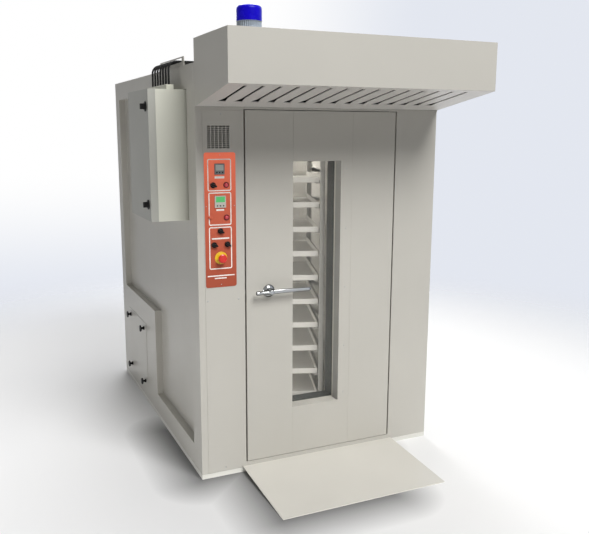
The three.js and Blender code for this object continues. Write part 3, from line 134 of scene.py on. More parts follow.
class NodeBench:
    # A small workbench round one node tree; place is the vector that its patterns are laid out in.

    def __init__(self, tree, coordinates="Object"):
        self.tree = tree
        self.place = self.add("ShaderNodeTexCoord").outputs[coordinates]

    def add(self, kind, **values):
        node = self.tree.nodes.new(kind)
        for key, value in values.items():
            if hasattr(node, key):
                setattr(node, key, value)
            else:
                node.inputs[key.replace("_", " ")].default_value = value
        return node

    def wire(self, source, target):
        self.tree.links.new(source, target)

    def feed(self, target, value):
        # Wires a socket to another one, or sets it to a number or a colour.
        if isinstance(value, bpy.types.NodeSocket):
            self.wire(value, target)
        else:
            target.default_value = (*value, 1.0) if isinstance(value, tuple) and len(value) == 3 else value

    def stretched(self, scale):
        # The coordinates scaled per axis, for patterns longer one way than another.
        mapping = self.add("ShaderNodeMapping", Scale=scale)
        self.wire(self.place, mapping.inputs["Vector"])
        return mapping.outputs["Vector"]

    def noise(self, scale, detail=4.0, roughness=0.55, vector=None):
        node = self.add("ShaderNodeTexNoise", Scale=scale, Detail=detail, Roughness=roughness)
        self.wire(vector or self.place, node.inputs["Vector"])
        return node.outputs["Fac"]

    def ramp(self, source, stops):
        # A colour ramp through (position, colour) stops.
        node = self.add("ShaderNodeValToRGB")
        elements = node.color_ramp.elements
        while len(elements) < len(stops):
            elements.new(0.5)
        for element, (position, colour) in zip(elements, stops):
            element.position = position
            element.color = (*colour, 1.0) if len(colour) == 3 else colour
        self.wire(source, node.inputs["Fac"])
        return node.outputs["Color"]

    def spread(self, source, low, high):
        # Maps a 0..1 pattern to low..high.
        node = self.add("ShaderNodeMapRange", To_Min=low, To_Max=high)
        self.wire(source, node.inputs["Value"])
        return node.outputs["Result"]

    def mixed(self, factor, first, second):
        node = self.add("ShaderNodeMix", data_type="RGBA")
        for index, value in ((0, factor), (6, first), (7, second)):
            self.feed(node.inputs[index], value)
        return node.outputs[2]

    def level(self, source, low, high, eased=False):
        # 0 below low, 1 above high, a straight or an eased line between them.
        kind = "SMOOTHSTEP" if eased else "LINEAR"
        node = self.add("ShaderNodeMapRange", interpolation_type=kind, From_Min=low, From_Max=high)
        self.wire(source, node.inputs["Value"])
        return node.outputs["Result"]

    def reckon(self, kind, first, second):
        node = self.add("ShaderNodeMath", operation=kind)
        for socket, value in zip(node.inputs, (first, second)):
            self.feed(socket, value)
        return node.outputs[0]

    def chained(self, kind, values):
        # One reckoning carried through a list: the product, or the least or greatest, of all values.
        total = values[0]
        for value in values[1:]:
            total = self.reckon(kind, total, value)
        return total

    def axes(self):
        parts = self.add("ShaderNodeSeparateXYZ")
        self.wire(self.place, parts.inputs["Vector"])
        return parts.outputs


class MaterialBench(NodeBench):
    # The workbench of one material, with its shader's sockets at hand.

    def __init__(self, name):
        self.material = bpy.data.materials.new(name)
        self.material.use_nodes = True
        super().__init__(self.material.node_tree)
        self.shader = self.tree.nodes["Principled BSDF"]

    def paint(self, source):
        self.wire(source, self.shader.inputs["Base Color"])

    def roughen(self, source, low, high):
        self.wire(self.spread(source, low, high), self.shader.inputs["Roughness"])

    def bump(self, source, strength, distance=0.001, after=None):
        node = self.add("ShaderNodeBump", Strength=strength, Distance=distance)
        self.wire(source, node.inputs["Height"])
        if after is not None:
            self.wire(after, node.inputs["Normal"])
        self.wire(node.outputs["Normal"], self.shader.inputs["Normal"])
        return node.outputs["Normal"]

    def set(self, **values):
        for key, value in values.items():
            self.feed(self.shader.inputs[key.replace("_", " ")], value)


def near(colour, factor):
    return tuple(min(1.0, channel * factor) for channel in colour)


enamel = {"colour": (0.525, 0.508, 0.462), "gloss": 0.30, "peel": 0.04, "coat": 0.18}
# painted light: the box's greenish paint, lighter here to lift its front out of the hood's shade
boxEnamelPaintedLight = {"colour": (0.635, 0.635, 0.555), "gloss": 0.34, "peel": 0.04, "coat": 0.12}
# painted shade: the same greenish box paint, darker for the lid's left-facing side
lidEnamelPaintedShade = {"colour": (0.40, 0.40, 0.365), "gloss": 0.34, "peel": 0.04, "coat": 0.12}
# painted light: a lighter copy of the shell paint for the bright strip of the base frame
plinthEnamelPaintedLight = {"colour": (0.72, 0.71, 0.66), "gloss": 0.3, "peel": 0.03, "coat": 0.2}
# painted light: a lighter copy of the shell paint for the up-facing ramp
rampEnamelPaintedLight = {"colour": (0.67, 0.65, 0.595), "gloss": 0.26, "peel": 0.03, "coat": 0.3}
# painted shade: the door's enamel with a darker colour on the right-hand side face of the window's cut
doorEnamelShadedJamb = {**enamel, "inside": (0.26, 0.256, 0.24)}
windowCut = ((0.100, -1.0462, 0.345), (0.1125, -0.98, 1.795))  # low and high corner of the darker jamb
hoodInside = {
    # colour: near-black painted shade for the hood's inner faces
    "colour": (0.035, 0.035, 0.034), "skin": 0.0016,
    "slope": 90 / 525,  # the casing's foot rises 90 mm over its 525 mm reach
    "rearFoot": 2.0785,  # height of the foot at its rear edge, a skin's thickness in
}


def hoodInsideShadeMask(bench):
    # 1 where a point lies more than a sheet's thickness inside the hood's outer faces, else 0: these inner faces get
    # painted shade.
    # The least of its distances to the faces is set against the thickness.
    low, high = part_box("hood_shell")
    x, y, z = bench.axes()
    foot = bench.reckon("MULTIPLY", bench.reckon("SUBTRACT", high[1], y), hoodInside["slope"])
    rise = bench.reckon("SUBTRACT", z, hoodInside["rearFoot"])
    spans = [(x, low[0]), (high[0], x), (y, low[1]), (high[1], y), (high[2], z), (rise, foot)]
    reaches = [bench.reckon("SUBTRACT", *span) for span in spans]
    return bench.reckon("GREATER_THAN", bench.chained("MINIMUM", reaches), hoodInside["skin"])


def jambShadeMask(bench):
    # 1 on the right-hand side face of the window's cut in the door, else 0: the face that gets painted shade.
    # It is the product of six marks, each 1 on the inner side of one limit.
    marks = []
    for axis, low, high in zip(bench.axes(), *windowCut):
        marks += [bench.reckon("GREATER_THAN", axis, low), bench.reckon("GREATER_THAN", high, axis)]
    return bench.chained("MULTIPLY", marks)


def enamelPaint(name="shellEnamel", settings=enamel, inside=None):
    # Baked enamel on sheet steel: faint cloudy tone, long upright waves of the sheet, a little fine
    # orange peel and a sharp clear coat. inside(bench) marks faces that get painted shade in a darker colour: the inner
    # faces of a hollow casing and the jamb of a window's cut.
    bench = MaterialBench(name)
    colour = settings["colour"]
    cloud = bench.noise(1.6, 3.0)
    tone = bench.ramp(cloud, [(0.3, near(colour, 0.975)), (0.7, near(colour, 1.02))])
    dust = bench.noise(14.0, 8.0, 0.7)
    painted = bench.mixed(bench.spread(dust, 0.0, 0.08), tone, near(colour, 0.88))
    pattern, least, most = bench.noise(5.0, 6.0), settings["gloss"], settings["gloss"] + 0.12
    # painted shade: the marked faces take a darker colour
    if inside is not None:
        pattern, least, most = inside(bench), settings["gloss"] + 0.05, 0.8
        painted = bench.mixed(pattern, painted, settings.get("inside", hoodInside["colour"]))
    bench.paint(painted)
    bench.roughen(pattern, least, most)
    waves = bench.noise(1.0, 2.0, 0.5, bench.stretched((7.0, 7.0, 0.5)))
    sheet = bench.bump(waves, 0.25, 0.004)
    bench.bump(bench.noise(420.0, 2.0), settings["peel"], 0.0003, sheet)
    bench.set(Coat_Weight=0.0 if inside else settings["coat"], Coat_Roughness=0.035, Specular_IOR_Level=0.3)
    return bench.material


def brushedSteel(name, colour, along="z", rough=0.3, metal=0.9):
    # Stainless sheet: long thin strokes one way, with cloudy roughness under them.
    bench = MaterialBench(name)
    scale = {"x": (4.0, 260.0, 260.0), "y": (260.0, 4.0, 260.0), "z": (260.0, 260.0, 4.0)}[along]
    strokes = bench.noise(1.0, 5.0, 0.7, bench.stretched(scale))
    tone = bench.ramp(strokes, [(0.25, near(colour, 0.88)), (0.75, near(colour, 1.06))])
    stain = bench.noise(3.0, 4.0)
    bench.paint(bench.mixed(bench.spread(stain, 0.0, 0.16), tone, near(colour, 0.72)))
    bench.roughen(strokes, rough - 0.07, rough + 0.12)
    bench.bump(strokes, 0.08, 0.0004)
    bench.set(Metallic=metal)
    return bench.material


def galvanisedSteel(name="galvanised", light=0.48):
    # Zinc-coated sheet: flat crystal spangles of slightly different tone and gloss.
    bench = MaterialBench(name)
    spangle = bench.add("ShaderNodeTexVoronoi", Scale=70.0)
    bench.wire(bench.place, spangle.inputs["Vector"])
    grey = bench.add("ShaderNodeSeparateColor")
    bench.wire(spangle.outputs["Color"], grey.inputs["Color"])
    greys = [(0.0, (light - 0.08,) * 3), (1.0, (light + 0.08,) * 3)]
    bench.paint(bench.ramp(grey.outputs[0], greys))
    bench.roughen(grey.outputs[1], 0.3, 0.52)
    bench.bump(bench.noise(60.0, 3.0), 0.05)
    bench.set(Metallic=0.85)
    return bench.material


def coatedMetal(name, colour, rough, grain=180.0, depth=0.12):
    # Sprayed machine paint: small grain, and grime gathered in broad patches.
    bench = MaterialBench(name)
    grime = bench.noise(9.0, 8.0, 0.65)
    bench.paint(bench.ramp(grime, [(0.35, near(colour, 0.7)), (0.62, colour), (0.8, near(colour, 1.15))]))
    bench.roughen(grime, rough + 0.12, rough - 0.05)
    bench.bump(bench.noise(grain, 3.0), depth, 0.0006)
    return bench.material


def rawIron(name="castIron"):
    # Sand-cast iron: coarse pitted skin with rusty specks.
    bench = MaterialBench(name)
    pits = bench.noise(140.0, 6.0, 0.7)
    rust = bench.noise(18.0, 8.0, 0.7)
    bench.paint(bench.ramp(rust, [(0.4, (0.085, 0.08, 0.078)), (0.7, (0.16, 0.10, 0.07))]))
    bench.bump(pits, 0.5, 0.001)
    bench.set(Metallic=0.5, Roughness=0.72)
    return bench.material


def mouldedPlastic(name, colour, rough, coat=0.0, specular=0.5):
    # Moulded plastic: fine spark grain and a slight unevenness of tone and gloss.
    bench = MaterialBench(name)
    tone = bench.noise(35.0, 4.0)
    bench.paint(bench.ramp(tone, [(0.3, near(colour, 0.88)), (0.7, near(colour, 1.1))]))
    bench.roughen(bench.noise(90.0, 4.0), rough - 0.04, rough + 0.1)
    bench.bump(bench.noise(900.0, 2.0), 0.06, 0.0003)
    bench.set(Coat_Weight=coat, Coat_Roughness=0.05, Specular_IOR_Level=specular)
    return bench.material


def chromePlate(name="chromePlate"):
    # Polished chrome: nearly a mirror, with faint wiping marks and cloudy film, and a painted dark reflection that
    # darkens it towards its edges.
    bench = MaterialBench(name)
    film = bench.noise(30.0, 5.0)
    plate = bench.ramp(film, [(0.3, (0.40, 0.41, 0.41)), (0.7, (0.52, 0.53, 0.53))])
    # painted reflection: the colour goes dark where the surface turns away
    facing = bench.add("ShaderNodeLayerWeight", Blend=0.5).outputs["Facing"]
    rim = bench.spread(bench.level(facing, 0.10, 0.45), 0.0, 0.95)
    bench.paint(bench.mixed(rim, plate, (0.05, 0.052, 0.055)))
    bench.roughen(bench.noise(80.0, 6.0, 0.7), 0.05, 0.16)
    bench.bump(bench.noise(300.0, 2.0), 0.01, 0.0002)
    bench.set(Metallic=1.0)
    return bench.material


glass = {"tint": (0.30, 0.30, 0.28), "alpha": 0.07}


def windowGlass(name="windowGlass"):
    # Clear pane: it lets most light by and keeps a sharp reflection, with baked-on film in patches.
    bench = MaterialBench(name)
    film = bench.noise(4.0, 6.0, 0.6)
    tint = glass["tint"]
    bench.paint(bench.ramp(film, [(0.35, near(tint, 0.9)), (0.75, near(tint, 1.25))]))
    bench.roughen(film, 0.02, 0.06)
    bench.set(Alpha=glass["alpha"], IOR=1.52, Coat_Weight=0.5, Coat_Roughness=0.02)
    return bench.material


def softRubber(name="sealRubber"):
    # Silicone seal: matt, with bloom where it has been rubbed.
    bench = MaterialBench(name)
    bloom = bench.noise(50.0, 6.0, 0.65)
    bench.paint(bench.ramp(bloom, [(0.4, (0.03, 0.03, 0.03)), (0.8, (0.075, 0.074, 0.07))]))
    bench.bump(bloom, 0.2, 0.0006)
    bench.set(Roughness=0.82)
    return bench.material


film = {
    "top": (0.86, 0.18, 0.10), "foot": (0.38, 0.08, 0.042), "low": 1.16, "high": 1.92,
    # painted light: a glow near the top of the film, lifting it out of the hood's shade
    "paintedLightFrom": 1.56, "paintedLightTo": 1.86, "glow": 0.45,
}


def fasciaFilm(name="fasciaFilm"):
    # Printed polyester overlay: orange-red that deepens evenly towards the foot, very fine matt texture. The lighter
    # top and its glow are painted light against the hood's shade.
    bench = MaterialBench(name)
    height = bench.level(bench.axes()["Z"], film["low"], film["high"])
    paintedLightFade = bench.ramp(height, [(0.0, film["foot"]), (1.0, film["top"])])
    speck = bench.noise(55.0, 4.0)
    bench.paint(bench.mixed(bench.spread(speck, 0.0, 0.12), paintedLightFade, near(film["foot"], 0.9)))
    bench.roughen(bench.noise(25.0, 5.0), 0.34, 0.46)
    bench.bump(bench.noise(1500.0, 1.0), 0.05, 0.0002)
    # painted light: the film glows in its own colour, most near the top
    bench.wire(paintedLightFade, bench.shader.inputs["Emission Color"])
    glow = bench.spread(bench.level(bench.axes()["Z"], film["paintedLightFrom"], film["paintedLightTo"]), 0.0, film["glow"])
    bench.wire(glow, bench.shader.inputs["Emission Strength"])
    bench.set(Specular_IOR_Level=0.25)
    return bench.material


def lensPlastic(name, colour, glow=0.0):
    # Clear coloured moulding over a dark seat, brighter where the moulding is thick.
    bench = MaterialBench(name)
    depth = bench.noise(160.0, 3.0)
    bench.paint(bench.ramp(depth, [(0.3, near(colour, 0.75)), (0.7, near(colour, 1.25))]))
    bench.roughen(depth, 0.06, 0.16)
    bench.set(Coat_Weight=0.8, Coat_Roughness=0.04, Emission_Color=colour, Emission_Strength=glow)
    return bench.material


def displayWindow(name, lit, dark, glow):
    # A liquid-crystal window: fine pixel rows over a lit ground.
    bench = MaterialBench(name)
    rows = bench.add("ShaderNodeTexWave", Scale=380.0, bands_direction="Z")
    bench.wire(bench.place, rows.inputs["Vector"])
    bench.paint(bench.mixed(bench.spread(rows.outputs["Fac"], 0.0, 0.22), lit, dark))
    bench.roughen(bench.noise(60.0, 3.0), 0.08, 0.2)
    bench.set(Emission_Color=lit, Emission_Strength=glow, Coat_Weight=0.5)
    return bench.material


def beaconGlass(name="beaconBlue"):
    # Deep blue polycarbonate cap, a soft shine on its shoulder.
    bench = MaterialBench(name)
    swirl = bench.noise(22.0, 4.0)
    bench.paint(bench.ramp(swirl, [(0.3, (0.004, 0.001, 0.38)), (0.7, (0.008, 0.002, 0.50))]))
    bench.roughen(swirl, 0.22, 0.32)
    bench.set(Specular_IOR_Level=0.14, Emission_Color=(0.004, 0.001, 0.5), Emission_Strength=0.12)
    return bench.material


finishes = {
    "shell_paint": enamelPaint(),
    "stainless": brushedSteel("stainless", (0.60, 0.585, 0.55)),
    "galvanised": galvanisedSteel(),
    "machinery": coatedMetal("machineryPaint", (0.10, 0.115, 0.12), 0.42),
    "cast_iron": rawIron(),
    "burner_red": coatedMetal("burnerRed", (0.36, 0.03, 0.02), 0.3),
    "window_glass": windowGlass(),
    "seal_rubber": softRubber(),
    "chrome": chromePlate(),
    "dark_sleeve": coatedMetal("sleevePaint", (0.045, 0.052, 0.052), 0.34, 240.0, 0.05),
    "black_plastic": mouldedPlastic("blackPlastic", (0.009, 0.009, 0.009), 0.34, specular=0.16),
    "conduit_black": mouldedPlastic("conduitPlastic", (0.006, 0.006, 0.006), 0.5, specular=0.22),
    "fascia_orange": fasciaFilm(),
    "instrument_dark": mouldedPlastic("instrumentCase", (0.15, 0.16, 0.16), 0.4),
    "lamp_lens": lensPlastic("lampLens", (0.52, 0.03, 0.045), 0.12),
    "estop_yellow": mouldedPlastic("stopYellow", (0.80, 0.50, 0.01), 0.3, coat=0.3),
    "estop_red": mouldedPlastic("stopRed", (0.62, 0.015, 0.008), 0.26, coat=0.4),
    "beacon_grey": mouldedPlastic("beaconGrey", (0.30, 0.345, 0.40), 0.25, coat=0.3),
    "beacon_blue": beaconGlass(),
    "castor_tread": mouldedPlastic("castorTread", (0.035, 0.035, 0.035), 0.55),
}
trimFinishes = {  # small pieces made here that need a finish of their own
    "print": mouldedPlastic("printWhite", (0.90, 0.87, 0.82), 0.4),
    "screw": brushedSteel("screwSteel", (0.50, 0.50, 0.49), "x", 0.3),
    "greyDisplay": displayWindow("displayGrey", (0.36, 0.38, 0.35), (0.22, 0.24, 0.23), 0.05),
    "greenDisplay": displayWindow("displayGreen", (0.07, 0.48, 0.13), (0.03, 0.25, 0.06), 0.18),
    "timerCase": mouldedPlastic("timerCase", (0.55, 0.53, 0.48), 0.35),
    "lampRing": mouldedPlastic("lampRing", (0.13, 0.008, 0.012), 0.3, specular=0.25),
}
nodeFinishes = {  # frame pieces whose finish differs a little from that of their slot
    "hood_shell": enamelPaint("hoodEnamelShadedInside", enamel, hoodInsideShadeMask),
    "door_shell": enamelPaint("doorEnamelShadedJamb", doorEnamelShadedJamb, jambShadeMask),
    "electrical_box": enamelPaint("boxEnamelPaintedLight", boxEnamelPaintedLight),
    "electrical_box_door": enamelPaint("lidEnamelPaintedShade", lidEnamelPaintedShade),
    "base_frame": enamelPaint("plinthEnamelPaintedLight", plinthEnamelPaintedLight),
    "loading_ramp": enamelPaint("rampEnamelPaintedLight", rampEnamelPaintedLight),
    "tray_stack": brushedSteel("traySheet", (0.60, 0.585, 0.55), "x", 0.45, 0.25),
    "rack_frame": brushedSteel("rackTube", (0.37, 0.365, 0.34), "z", 0.42, 0.3),
    "chamber_liner": brushedSteel("linerSheet", (0.58, 0.565, 0.53), "z", 0.4, 0.45),
    # painted light: a lighter copy of the stainless for the hood's shaded underside
    "hood_baffle": brushedSteel("baffleSteelPaintedLight", (0.70, 0.675, 0.64), "y", 0.4, 0.25),
}
print("finishes mixed:", len(finishes) + len(nodeFinishes) + len(trimFinishes))


softEdges = {
    "front_frame": 1.2, "left_side_panel": 2.0, "right_side_panel": 2.0, "back_panel": 2.0, "roof_panel": 0.8,
    "hood_shell": 1.6, "door_shell": 1.0, "electrical_box": 0.7, "electrical_box_door": 2.2, "loading_ramp": 1.2,
    "control_column_cover": 0.6, "control_fascia": 0.5, "access_panel": 0.7, "rack_frame": 0.8, "tray_stack": 1.2,
    "base_frame": 1.0, "latch_bolt": 1.0, "rack_gearmotor": 2.5, "burner": 3.0,
}


def dressNode(name, slotName):
    # Gives a frame piece its finish, and small rounded edges made by modifiers alone.
    piece = nodes[name]
    finish = nodeFinishes.get(name, finishes[slotName])
    if piece.data.materials:
        for index in range(len(piece.data.materials)):
            piece.data.materials[index] = finish
    else:
        piece.data.materials.append(finish)
    if name not in softEdges:
        return
    weld = piece.modifiers.new("weld", "WELD")
    weld.merge_threshold = 0.00002
    bevel = piece.modifiers.new("softEdge", "BEVEL")
    bevel.width = softEdges[name] / 1000.0
    bevel.segments = 2
    bevel.limit_method = "ANGLE"
    bevel.angle_limit = math.radians(50)
    bevel.use_clamp_overlap = True


for entry in frame["record"]["subparts"]:
    dressNode(entry["node"], entry["material_slot"])
print("frame pieces dressed:", len(nodes))


def addPiece(name, vertices, faces, material, smooth=True):
    # Makes a mesh from a whole array of vertices in metres and lists of corners.
    mesh = bpy.data.meshes.new(name)
    mesh.from_pydata(vertices.tolist(), [], faces)
    mesh.materials.append(material)
    mesh.update()
    if smooth:
        mesh.shade_smooth()
    piece = bpy.data.objects.new(name, mesh)
    bpy.context.scene.collection.objects.link(piece)
    return piece


def gridFaces(rows, columns, closeRows=False):
    # Four-cornered faces of a grid whose columns run round, listed row by row.
    i = np.arange(rows if closeRows else rows - 1)[:, None]
    j = np.arange(columns)[None, :]
    a = i * columns + j
    b = i * columns + (j + 1) % columns
    c = ((i + 1) % rows) * columns + (j + 1) % columns
    d = ((i + 1) % rows) * columns + j
    return np.stack([a, b, c, d], -1).reshape(-1, 4)


def tubeFaces(rows, around, flipped=False):
    # A tube's grid of faces with both ends closed; flipped turns them over, for rings that run the other way.
    last = (rows - 1) * around
    ends = list(range(around))[::-1], list(range(last, last + around))
    faces = [ends[0], *gridFaces(rows, around).tolist(), ends[1]]
    return [face[::-1] for face in faces] if flipped else faces


def fullTurn(count):
    # Evenly spaced angles round a circle, the last one a step short of the first.
    return np.linspace(0, 2 * np.pi, count, endpoint=False)


axisTurns = {
    "z": np.eye(3),
    "front": np.array([[1, 0, 0], [0, 0, -1], [0, 1, 0]], float),  # height runs to the front
    "left": np.array([[0, 0, -1], [0, 1, 0], [1, 0, 0]], float),  # height runs to the left
    "right": np.array([[0, 0, 1], [0, 1, 0], [-1, 0, 0]], float),
}


def turnedSolid(profile, place, facing="z", around=48, flute=None):
    # A profile of (radius, height) points carried round an axis: x = r cos t, y = r sin t.
    # flute(t, height) scales the radius, for ribs and grips. Both ends close on the axis.
    profile = np.asarray(profile, float)
    angle = fullTurn(around)
    radius, height = (profile[:, column, None] * np.ones_like(angle) for column in (0, 1))
    if flute is not None:
        radius = radius * flute(angle[None, :], height)
    ring = np.stack([radius * np.cos(angle), radius * np.sin(angle), height], -1).reshape(-1, 3)
    points = ring @ axisTurns[facing].T + np.asarray(place, float)
    return fromDrawing(points), tubeFaces(len(profile), around)


def roundedProfile(corners, radius=1.0, steps=4):
    # Replaces each inner corner of a (radius, height) polyline with a short arc.
    corners = np.asarray(corners, float)
    before, here, after = corners[:-2], corners[1:-1], corners[2:]
    toBefore = before - here
    toAfter = after - here
    reachBefore = np.linalg.norm(toBefore, axis=1, keepdims=True)
    reachAfter = np.linalg.norm(toAfter, axis=1, keepdims=True)
    trim = np.minimum(radius, 0.45 * np.minimum(reachBefore, reachAfter))
    start = here + toBefore / reachBefore * trim
    end = here + toAfter / reachAfter * trim
    t = np.linspace(0, 1, steps)[None, :, None]
    arcs = (1 - t) ** 2 * start[:, None] + 2 * t * (1 - t) * here[:, None] + t**2 * end[:, None]
    return np.vstack([corners[:1], arcs.reshape(-1, 2), corners[-1:]])


def sweptSection(path, section, sideways):
    # Closed sections of (across, up) points, one for each point of the path, carried along it.
    # sideways is the across direction, and up is square to it and to the path at each point.
    path = np.asarray(path, float)
    section = np.asarray(section, float)
    along = np.gradient(path, axis=0)
    along /= np.linalg.norm(along, axis=1, keepdims=True)
    across = np.broadcast_to(np.asarray(sideways, float), path.shape)
    up = np.cross(along, across)
    up /= np.linalg.norm(up, axis=1, keepdims=True)
    across = np.cross(up, along)
    rings = path[:, None] + section[..., :1] * across[:, None] + section[..., 1:] * up[:, None]
    return rings.reshape(-1, 3), tubeFaces(len(path), section.shape[1], flipped=True)


def merged(pieces):
    # Joins (vertices, faces) pairs into one pair.
    vertices = []
    faces = []
    shift = 0
    for points, corners in pieces:
        vertices.append(np.asarray(points))
        faces.extend([[index + shift for index in face] for face in corners])
        shift += len(points)
    return np.vstack(vertices), faces


def finishPiece(name, pair, body, slotName, replacing=(), material=None, smooth=True, sharp=40):
    # Adds a piece that rides on a body, in its slot's own finish unless another is given.
    piece = addPiece(name, *pair, material or finishes[slotName], smooth)
    if smooth and sharp:
        piece.data.set_sharp_from_angle(angle=math.radians(sharp))
    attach(piece, body)
    if replacing:
        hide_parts(*replacing)


conduits = {  # stripLow and stripHigh are opposite corners of the bedded strip
    "count": 7, "first": 276, "pitch": 60, "radius": 6.0, "x": -60, "bend": 45, "run": 539.7, "level": 2326.3,
    "stripLow": (-78, 258, 2173.3), "stripHigh": (-42, 654, 2196), "nut": 9.6, "nutHeight": 9,
    "ribPitch": 5.0, "ribDepth": 0.6, "around": 12,
}


def conduitRoute(y, setup):
    # Up from the gland, a quarter circle over the roof edge, then level to the entry box.
    foot = setup["stripHigh"][2] + setup["nutHeight"] * 0.4
    step = setup["ribPitch"] / 4
    bend = setup["bend"]
    rise = np.arange(foot, setup["level"] - bend, step)
    angle = np.arange(0, np.pi / 2, step / bend)
    level = np.arange(setup["x"] + bend, setup["run"], step)
    stretches = [
        (setup["x"], rise), (setup["x"] + bend * (1 - np.cos(angle)), setup["level"] - bend * (1 - np.sin(angle))),
        (level, setup["level"]),
    ]
    return np.vstack([np.stack(np.broadcast_arrays(x, float(y), z), -1) for x, z in stretches])


def conduitTube(y, setup):
    # Corrugated tube: the radius drops by the rib depth over half of each rib pitch.
    route = conduitRoute(y, setup)
    turn = fullTurn(setup["around"])
    wave = 0.5 - 0.5 * np.cos(np.arange(len(route)) * np.pi / 2)
    radius = setup["radius"] - setup["ribDepth"] * wave
    section = np.stack([
        radius[:, None] * np.cos(turn)[None], radius[:, None] * np.sin(turn)[None],
    ], -1)
    points, faces = sweptSection(route, section, (0.0, 1.0, 0.0))
    return fromDrawing(points), faces


def boxSolid(low, high, edge=1.0):
    # A block with its twelve edges cut back: each corner becomes three points set in by edge. The faces
    # are six sides, a strip for each edge and a small triangle for each corner, all facing outwards.
    low, high = np.asarray(low, float), np.asarray(high, float)
    corners = np.array([[x, y, z] for x in (0, 1) for y in (0, 1) for z in (0, 1)])
    base = low + corners * (high - low)
    inward = 1 - 2 * corners
    points = (base[:, None] + edge * inward[:, None] * (1 - np.eye(3))[None]).reshape(-1, 3)
    sides, strips = [], []
    for axis in range(3):
        first, second = [a for a in range(3) if a != axis]

        def cornerPoint(end, a, b):
            corner = np.zeros(3, int)
            corner[axis], corner[first], corner[second] = end, a, b
            return int(corner @ (4, 2, 1)) * 3

        for end in (0, 1):
            ring = [cornerPoint(end, a, b) + axis for a, b in ((0, 0), (1, 0), (1, 1), (0, 1))]
            sides.append(ring if (end == 1) == (axis != 1) else ring[::-1])
        for a, b in ((0, 0), (0, 1), (1, 0), (1, 1)):
            foot, head = cornerPoint(0, a, b), cornerPoint(1, a, b)
            ring = [foot + first, foot + second, head + second, head + first]
            strips.append(ring if (a == b) == (axis != 1) else ring[::-1])
    tips = []
    for index, corner in enumerate(corners):
        ring = [index * 3, index * 3 + 1, index * 3 + 2]
        tips.append(ring if corner.sum() % 2 == 1 else ring[::-1])
    return fromDrawing(points), sides + strips + tips


def makeConduits(setup):
    # A bedded rubber strip, a six-sided nut for each conduit and the corrugated tubes over them.
    rows = [setup["first"] + i * setup["pitch"] for i in range(setup["count"])]
    strip = boxSolid(setup["stripLow"], setup["stripHigh"], 1.2)
    sixSided = lambda angle, height: 1 + 0.035 * np.cos(6 * angle)
    wide, tall = setup["nut"], setup["nutHeight"]
    nut = roundedProfile([
        (0, -1), (wide, -1), (wide, tall * 0.55), (wide * 0.85, tall * 0.6), (wide * 0.8, tall), (0, tall),
    ], 0.6)
    glands = [turnedSolid(nut, (setup["x"], y, setup["stripHigh"][2]), "z", 24, sixSided) for y in rows]
    tubes = [conduitTube(y, setup) for y in rows]
    finishPiece("conduitRun", merged([strip, *glands, *tubes]), "cabinet", "conduit_black", ("cable_conduits",),
                sharp=50)


makeConduits(conduits)
print("conduits laid")


panelFaceY = -4.6  # the fascia's face, where knobs and lamps stand
selectors = {
    "radius": 15.5, "flange": 5, "grip": 20, "wing": 19, "gripWidth": 14,
    "spots": {"power": (90.5, 1672, 24), "steam": (129, 1424, 30), "light": (92, 1350, 18), "fan": (167.5, 1350, 32)},
}


def selectorKnob(x, z, tilt, setup):
    # A flanged disc under a wing grip. The grip is a rounded bar whose width narrows with height;
    # tilt turns the wing, in degrees.
    rim, flange, around = setup["radius"], setup["flange"], 40
    disc = turnedSolid(roundedProfile([
        (0, 0), (rim, 0), (rim, 3), (rim * 0.86, flange), (0, flange),
    ], 0.8), (x, panelFaceY, z), "front", around)
    turn = fullTurn(around)
    levels = np.array([0.0, 0.6, 0.85, 0.96, 1.0])
    narrow = np.array([1.0, 0.93, 0.88, 0.74, 0.3])
    across = np.sign(np.cos(turn)) * np.abs(np.cos(turn)) ** 0.85 * setup["wing"]
    width = np.sign(np.sin(turn)) * np.abs(np.sin(turn)) ** 0.7 * setup["gripWidth"] / 2
    cosine, sine = math.cos(math.radians(tilt)), math.sin(math.radians(tilt))
    u = across[None] * (0.86 + 0.14 * narrow[:, None])
    v = width[None] * narrow[:, None]
    height = flange - 1 + levels * (setup["grip"] - flange + 1)
    out = np.broadcast_to((panelFaceY - height)[:, None], u.shape)
    points = np.stack([x + u * cosine + v * sine, out, z - u * sine + v * cosine], -1)
    return merged([disc, (fromDrawing(points.reshape(-1, 3)), tubeFaces(len(levels), around, flipped=True))])


for knobName, (x, z, tilt) in selectors["spots"].items():
    finishPiece(f"{knobName}SelectorKnob", selectorKnob(x, z, tilt, selectors), f"{knobName}_knob",
                "black_plastic", (f"{knobName}_selector",))


pilotLamps = {"heatingLamp": (163.5, 1672, "heating_lamp"), "readyLamp": (164, 1497, "ready_lamp")}
lampRingProfile = roundedProfile([(0, 0), (16, 0), (16, 3.2), (14, 3.8), (11.2, 3.2), (0, 3.2)], 0.5)
lampLensProfile = roundedProfile([(0, 3.0), (11, 3.0), (10.6, 5.2), (9, 7.6), (5, 8.8), (0, 9.0)], 0.8)
lensRibs = lambda angle, height: 1 + 0.012 * np.cos(12 * angle)  # twelve faint ribs round the lens
for lampName, (x, z, node) in pilotLamps.items():
    ring = turnedSolid(lampRingProfile, (x, panelFaceY, z), "front", 36)
    lens = turnedSolid(lampLensProfile, (x, panelFaceY, z), "front", 36, lensRibs)
    finishPiece(f"{lampName}Ring", ring, "cabinet", "lamp_lens", material=trimFinishes["lampRing"])
    finishPiece(f"{lampName}Lens", lens, "cabinet", "lamp_lens", (node,))


startButton = {"x": 73, "z": 1502, "stem": 3, "stemFoot": -8}


